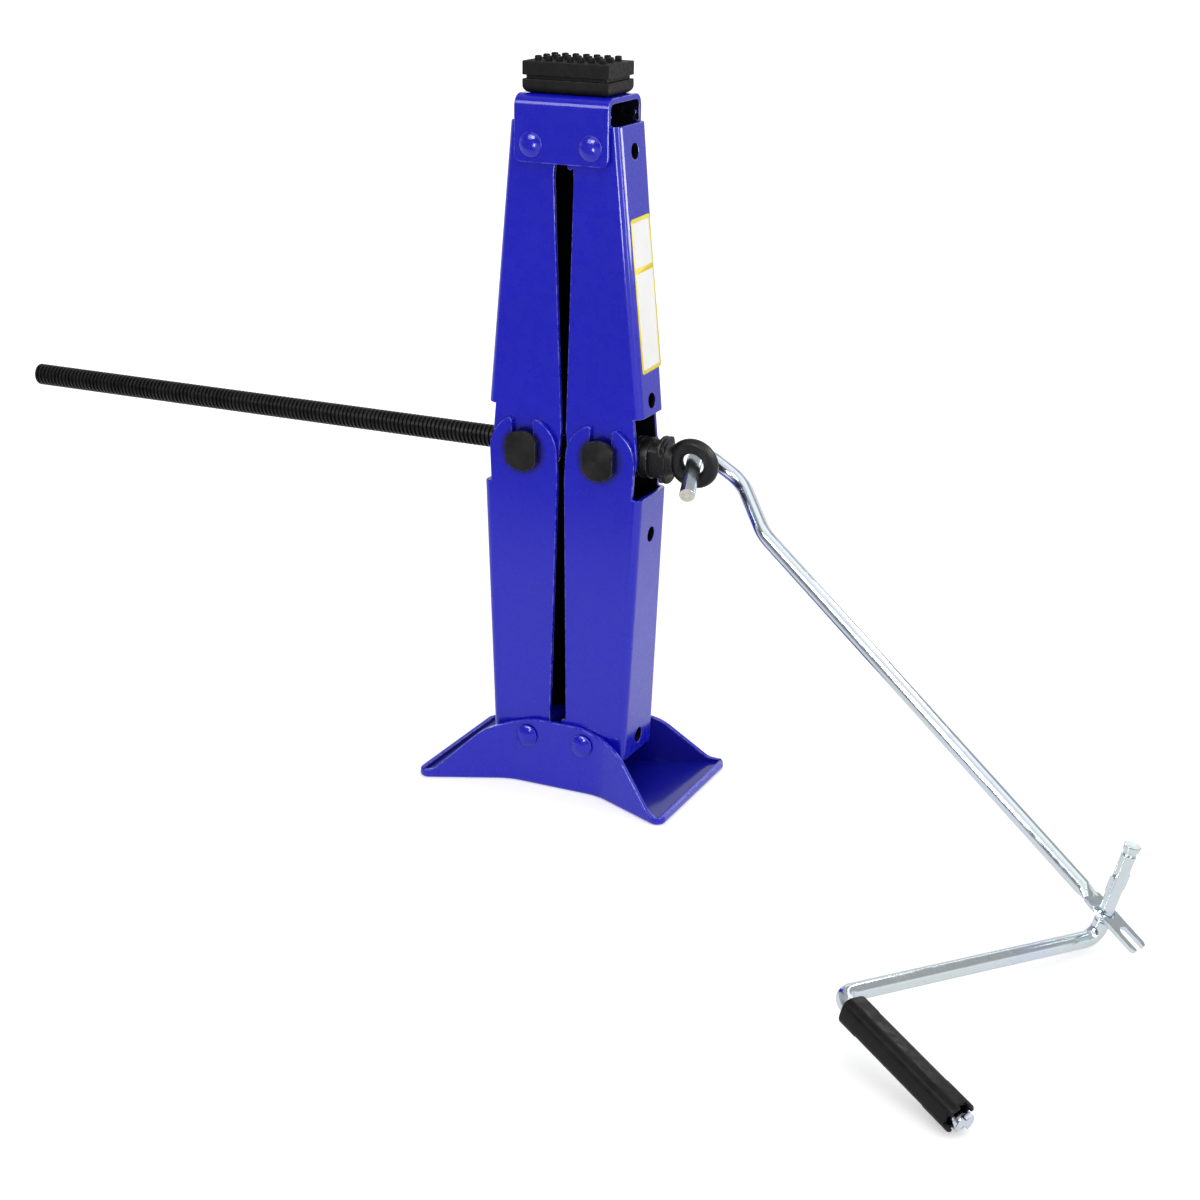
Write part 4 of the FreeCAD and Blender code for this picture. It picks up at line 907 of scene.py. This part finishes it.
label = dressed("blank_label", make_label(), "upper_right", None, ["label_white", "label_yellow"])
film = label.modifiers.new("film", "SOLIDIFY")
film.thickness = LABEL_THICK
film.offset = -1
print(label.name, "has", len(label.data.polygons), "faces")

# %% [markdown]
# Turned pieces
#
# The elbow pins, the thrust races, the ball cage and the pin through the eye are plain turned parts, so a
# small chamfer on their copies is all they need. The balls are copied as they are, cleaned at their poles and
# polished.

# %% Turned pieces
TURNED_ROUND = 0.3 * MM
TRUNNIONS = ["nut_trunnion", "bearing_trunnion"]
RINGS = ["thrust_race_inner", "thrust_race_outer", "ball_cage", "eye_cross_pin"]
for node in TRUNNIONS + RINGS:
    bm = merged_copy(node)
    count = round_off(bm, TURNED_ROUND)
    finish = "turned_pin" if node in TRUNNIONS else "turned_black"
    piece = dressed(f"{node}_blacked", bm, BODY_OF[node], "black_oxide_steel", [finish], node)
    print(piece.name, "rounded", count, "edges")
bm = merged_copy("thrust_balls")
bmesh.ops.dissolve_degenerate(bm, dist=MERGE_DISTANCE, edges=bm.edges)
balls = dressed("thrust_balls_polished", bm, "bearing", "bearing_steel", ["bearing_steel"], "thrust_balls")
print(balls.name, "has", len(balls.data.polygons), "faces")

# %% [markdown]
# Lead screw
#
# The screw carries a trapezoid thread over its whole free length. One pitch of the thread's outline is drawn
# as four short edges, and a spin that also moves along the axis at each step winds it into one turn. The turn
# is doubled and doubled again until it is long enough, much quicker than one long spin. Each turn ends where
# the next begins, so merging the doubles closes the seams. The raw ends of the helix are cut square and
# capped.

# %% Thread
THREAD_PITCH = 2.5 * MM
THREAD_DEPTH = 1.05 * MM
THREAD_STEPS = 28
SPARE_TURNS = 3
CUT_DISTANCE = 1e-7
ON_PLANE = 1e-6
SCREW_RADIUS = 6 * MM
ROOT_RADIUS = SCREW_RADIUS - THREAD_DEPTH
THREAD_STATIONS = [(0, ROOT_RADIUS), (0.28, ROOT_RADIUS), (0.42, SCREW_RADIUS), (0.86, SCREW_RADIUS),
                   (1, ROOT_RADIUS)]
screw_low, screw_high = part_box("lead_screw")
SCREW_HEIGHT = (screw_low.z + screw_high.z) / 2


def thread_outline(bm):
    """One pitch of the thread along X, at the top of the bar."""
    verts = [bm.verts.new((share * THREAD_PITCH, 0, radius)) for share, radius in THREAD_STATIONS]
    edges = [bm.edges.new(pair) for pair in zip(verts, verts[1:])]
    return verts + edges


def cut_square(bm, along, way):
    """Cuts the bar off at a place along X, keeps the side behind the cut and caps it."""
    bmesh.ops.bisect_plane(bm, geom=whole(bm), dist=CUT_DISTANCE, plane_co=(along, 0, 0),
                           plane_no=(way, 0, 0), clear_outer=True)
    rim = [edge for edge in bm.edges if edge.is_boundary and abs(edge.verts[0].co.x - along) < ON_PLANE]
    bmesh.ops.contextual_create(bm, geom=rim)


def make_screw():
    bm = bmesh.new()
    bmesh.ops.spin(bm, geom=thread_outline(bm), cent=(0, 0, 0), axis=AXIS_X, angle=2 * math.pi,
                   dvec=(THREAD_PITCH / THREAD_STEPS, 0, 0), steps=THREAD_STEPS)
    turns = 1
    while turns * THREAD_PITCH < screw_high.x - screw_low.x + SPARE_TURNS * THREAD_PITCH:
        copied = bmesh.ops.duplicate(bm, geom=whole(bm))["geom"]
        fresh = [item for item in copied if isinstance(item, bmesh.types.BMVert)]
        bmesh.ops.translate(bm, verts=fresh, vec=(turns * THREAD_PITCH, 0, 0))
        turns *= 2
    bmesh.ops.remove_doubles(bm, verts=bm.verts, dist=ON_PLANE)
    start = screw_low.x - SPARE_TURNS * THREAD_PITCH / 2
    bmesh.ops.translate(bm, verts=bm.verts, vec=(start, 0, SCREW_HEIGHT))
    cut_square(bm, screw_low.x, -1)
    cut_square(bm, screw_high.x, 1)
    bmesh.ops.recalc_face_normals(bm, faces=bm.faces)
    return bm


screw = dressed("lead_screw_threaded", make_screw(), "screw", "black_oxide_steel", ["turned_black"],
                "lead_screw")
print(screw.name, "has", len(screw.data.polygons), "faces")

# %% [markdown]
# Forged eye
#
# The eye is drop-forged and then turned on its hub. A die leaves the ring flatter on its two sides than a
# round bar, and the turner cuts a groove round the collar. Both are made on the merged copy: vertices that
# stand too far out of the ring's plane are pressed back towards it, and three cuts across the collar give the
# loop that is drawn in.

# %% Eye
RING_CENTRE = Vector((joint_place("hook_swing").x, 0, SCREW_HEIGHT))
RING_AXIS = joint_axis("hook_swing")
RING_FLAT = 3.1 * MM
PRESS_SHARE = 0.8
NECK_FREE = 7.0 * MM
NECK_START = 4 * MM
NECK_LENGTH = 5 * MM
STEM_REACH = 8 * MM
COLLAR_RADIUS = 12.3 * MM
COLLAR_SLACK = 0.1 * MM
COLLAR_CORE = 0.8 * COLLAR_RADIUS
GROOVE_WIDTH = 1.3 * MM
GROOVE_SHARE = 0.93
EYE_ROUND = 0.3 * MM


def press_ring(bm):
    """Flattens the ring between two dies and leaves the neck as it is."""
    for vert in bm.verts:
        out = vert.co - RING_CENTRE
        neck = min(1.0, max(0.0, (-NECK_START - out.x) / NECK_LENGTH))
        room = RING_FLAT + (NECK_FREE - RING_FLAT) * neck
        height = out.dot(RING_AXIS)
        over = abs(height) - room
        if over > 0:
            vert.co -= RING_AXIS * math.copysign(PRESS_SHARE * over, height)


def from_screw(place):
    """How far a place is from the screw's axis."""
    return Vector((0, place.y, place.z - SCREW_HEIGHT)).length


def groove_collar(bm):
    """Draws in a loop in the middle of the collar."""
    stem_end = RING_CENTRE.x - STEM_REACH
    least = COLLAR_RADIUS - COLLAR_SLACK
    rim = [vert.co.x for vert in bm.verts if vert.co.x < stem_end and from_screw(vert.co) > least]
    middle = (min(rim) + max(rim)) / 2
    for step in (-0.5, 0, 0.5):
        across = (middle + step * GROOVE_WIDTH, 0, 0)
        bmesh.ops.bisect_plane(bm, geom=whole(bm), plane_co=across, plane_no=AXIS_X)
    cut = [vert for vert in bm.verts if abs(vert.co.x - middle) < ON_PLANE]
    loop = [vert for vert in cut if from_screw(vert.co) > COLLAR_CORE]
    bmesh.ops.scale(bm, vec=(1, GROOVE_SHARE, GROOVE_SHARE), verts=loop,
                    space=Matrix.Translation((-middle, 0, -SCREW_HEIGHT)))
    return len(loop)


bm = merged_copy("drive_eye")
press_ring(bm)
print("groove of", groove_collar(bm), "vertices")
round_off(bm, EYE_ROUND)
dressed("drive_eye_forged", bm, "screw", "black_oxide_steel", ["forged_black"], "drive_eye")

# %% [markdown]
# Hook rod
#
# The hook rod is a bent bar with one end forged flat. It keeps its solid's form, with the sharp edges
# rounded. Its other end was sheared off and shows bare steel. A separate disc could be laid on it, but the
# end is one face of the merged copy, so that face simply takes a second material.

# %% Hook rod
HOOK_ROUND = 0.2 * MM
LEAST_TIP_CORNERS = 12
bm = merged_copy("hook_rod")
ends = [face for face in bm.faces if len(face.verts) > LEAST_TIP_CORNERS]
tip = max(ends, key=lambda face: face.calc_center_median().z)
tip.material_index = 1
print("sheared end at", [round(side / MM, 1) for side in tip.calc_center_median()], "mm")
round_off(bm, HOOK_ROUND)
dressed("hook_rod_plated", bm, "hook", "bright_zinc", ["bright_zinc", "sheared_steel"], "hook_rod")

# %% [markdown]
# Crank
#
# The crank also keeps its solid's form. Its far end was squeezed in a press to keep the grip on: beyond the
# grip, vertices near the middle are brought in, which leaves two lobes. That is easy to say in the crank's
# own axes, so a matrix from two of the joints takes each vertex there and back.

# %% Crank
CRANK_ROUND = 0.3 * MM
LOBE_WAIST = 1.5 * MM
LOBE_SLOPE = 0.75
LOBE_START = 0.2 * MM


def crank_axes():
    """The crank's own axes at the root of its spindle: the drive end, the arm and the spindle."""
    drive = joint_axis("crank_swing")
    spindle = joint_axis("grip_spin")
    axes = Matrix((drive, spindle.cross(drive), spindle)).transposed().to_4x4()
    axes.translation = joint_place("grip_spin")
    return axes


CRANK = crank_axes()


def span_along(node, column):
    """How far a solid reaches along one of the crank's axes."""
    way = CRANK.col[column].to_3d()
    reaches = [(vert.co - CRANK.translation).dot(way) for vert in frame["nodes"][node].data.vertices]
    return min(reaches), max(reaches)


def pinch_end(bm, start):
    """Squeezes the rod into two lobes beyond a place along the spindle."""
    home = CRANK.inverted()
    for vert in bm.verts:
        place = home @ vert.co
        if place.z > start:
            room = LOBE_WAIST + LOBE_SLOPE * abs(place.y)
            place.x = max(-room, min(room, place.x))
            vert.co = CRANK @ place


grip_start, grip_end = span_along("grip_sleeve", 2)
bm = merged_copy("crank_rod")
pinch_end(bm, grip_end + LOBE_START)
round_off(bm, CRANK_ROUND)
dressed("crank_rod_plated", bm, "crank", "bright_zinc", ["bright_zinc"], "crank_rod")
print("grip sits from", round(grip_start / MM, 1), "to", round(grip_end / MM, 1), "mm on the spindle")

# %% [markdown]
# Grip
#
# The grip is a square sleeve with soft corners, a collar at each end and four lugs round the rod's squeezed
# end. A loft through drawn sections would do, but growing one face needs less drawing: a rounded square moves
# along the spindle and changes its width at each station, and the faces left inside are deleted. Insets at
# both ends make the wall, a bridge between them makes the bore, and the corner faces of the far wall are
# drawn out into the lugs.

# %% Grip
GRIP_CORNER = 3.9 * MM
GRIP_WALL = 1.6 * MM
GRIP_ROUND = 0.45 * MM
LUG_LENGTH = 2.0 * MM
GRIP_STATIONS = [(0.012, 1.0), (0.15, 1.0), (0.156, 0.97), (0.80, 0.97), (0.806, 1.0), (1.0, 1.0)]
GRIP_NOSE = 0.93


def grow(bm, face, rise, spread):
    """Extrudes a face along the spindle and changes its width."""
    made = bmesh.ops.extrude_face_region(bm, geom=[face])["geom"]
    top = next(item for item in made if isinstance(item, bmesh.types.BMFace))
    bmesh.ops.scale(bm, vec=(spread, spread, 1), verts=top.verts[:])
    bmesh.ops.translate(bm, vec=(0, 0, rise), verts=top.verts[:])
    return top


def make_grip():
    low, high = span_along("grip_sleeve", 0)
    half = (high - low) / 2
    length = grip_end - grip_start - LUG_LENGTH
    bm = rounded_sheet(2 * half * GRIP_NOSE, 2 * half * GRIP_NOSE, GRIP_CORNER)
    bottom = top = bm.faces[:][0]
    crossings = []
    reach, width = 0.0, GRIP_NOSE
    for share, wanted in GRIP_STATIONS:
        crossings.append(top)
        top = grow(bm, top, (share - reach) * length, wanted / width)
        reach, width = share, wanted
    bmesh.ops.delete(bm, geom=crossings[1:], context="FACES_ONLY")
    bmesh.ops.recalc_face_normals(bm, faces=bm.faces)
    bmesh.ops.inset_region(bm, faces=[bottom], thickness=GRIP_WALL - half * (1 - GRIP_NOSE))
    wall = bmesh.ops.inset_region(bm, faces=[top], thickness=GRIP_WALL)["faces"]
    widest = max(face.calc_area() for face in wall)
    corners = [face for face in wall if face.calc_area() < widest / 2]
    bmesh.ops.delete(bm, geom=[bottom, top], context="FACES_ONLY")
    bmesh.ops.bridge_loops(bm, edges=[edge for edge in bm.edges if edge.is_boundary])
    drawn = bmesh.ops.extrude_face_region(bm, geom=corners)["geom"]
    lugs = [item for item in drawn if isinstance(item, bmesh.types.BMVert)]
    bmesh.ops.translate(bm, vec=(0, 0, LUG_LENGTH), verts=lugs)
    bmesh.ops.delete(bm, geom=corners, context="FACES")
    bmesh.ops.recalc_face_normals(bm, faces=bm.faces)
    bmesh.ops.transform(bm, matrix=CRANK @ Matrix.Translation((0, 0, grip_start)), verts=bm.verts)
    return bm


bm = make_grip()
print("grip of", len(bm.faces), "faces,", sum(not edge.is_manifold for edge in bm.edges), "open edges")
round_off(bm, GRIP_ROUND)
dressed("grip_sleeve_moulded", bm, "grip", "grip_plastic", ["grip_plastic"], "grip_sleeve")

# %% [markdown]
# Saddle pad
#
# The pad is a rubber block that keeps the load from slipping on the steel. Its solid already has the two
# tiers and the studs, so it only needs edges as soft as a rubber mould leaves them. The same rounding as for
# the sheet does that, a little wider.

# %% Saddle pad
PAD_ROUND = 0.6 * MM
bm = merged_copy("saddle_pad")
print("pad with", round_off(bm, PAD_ROUND), "softened edges")
dressed("saddle_pad_moulded", bm, "saddle", "saddle_rubber", ["saddle_rubber"], "saddle_pad")
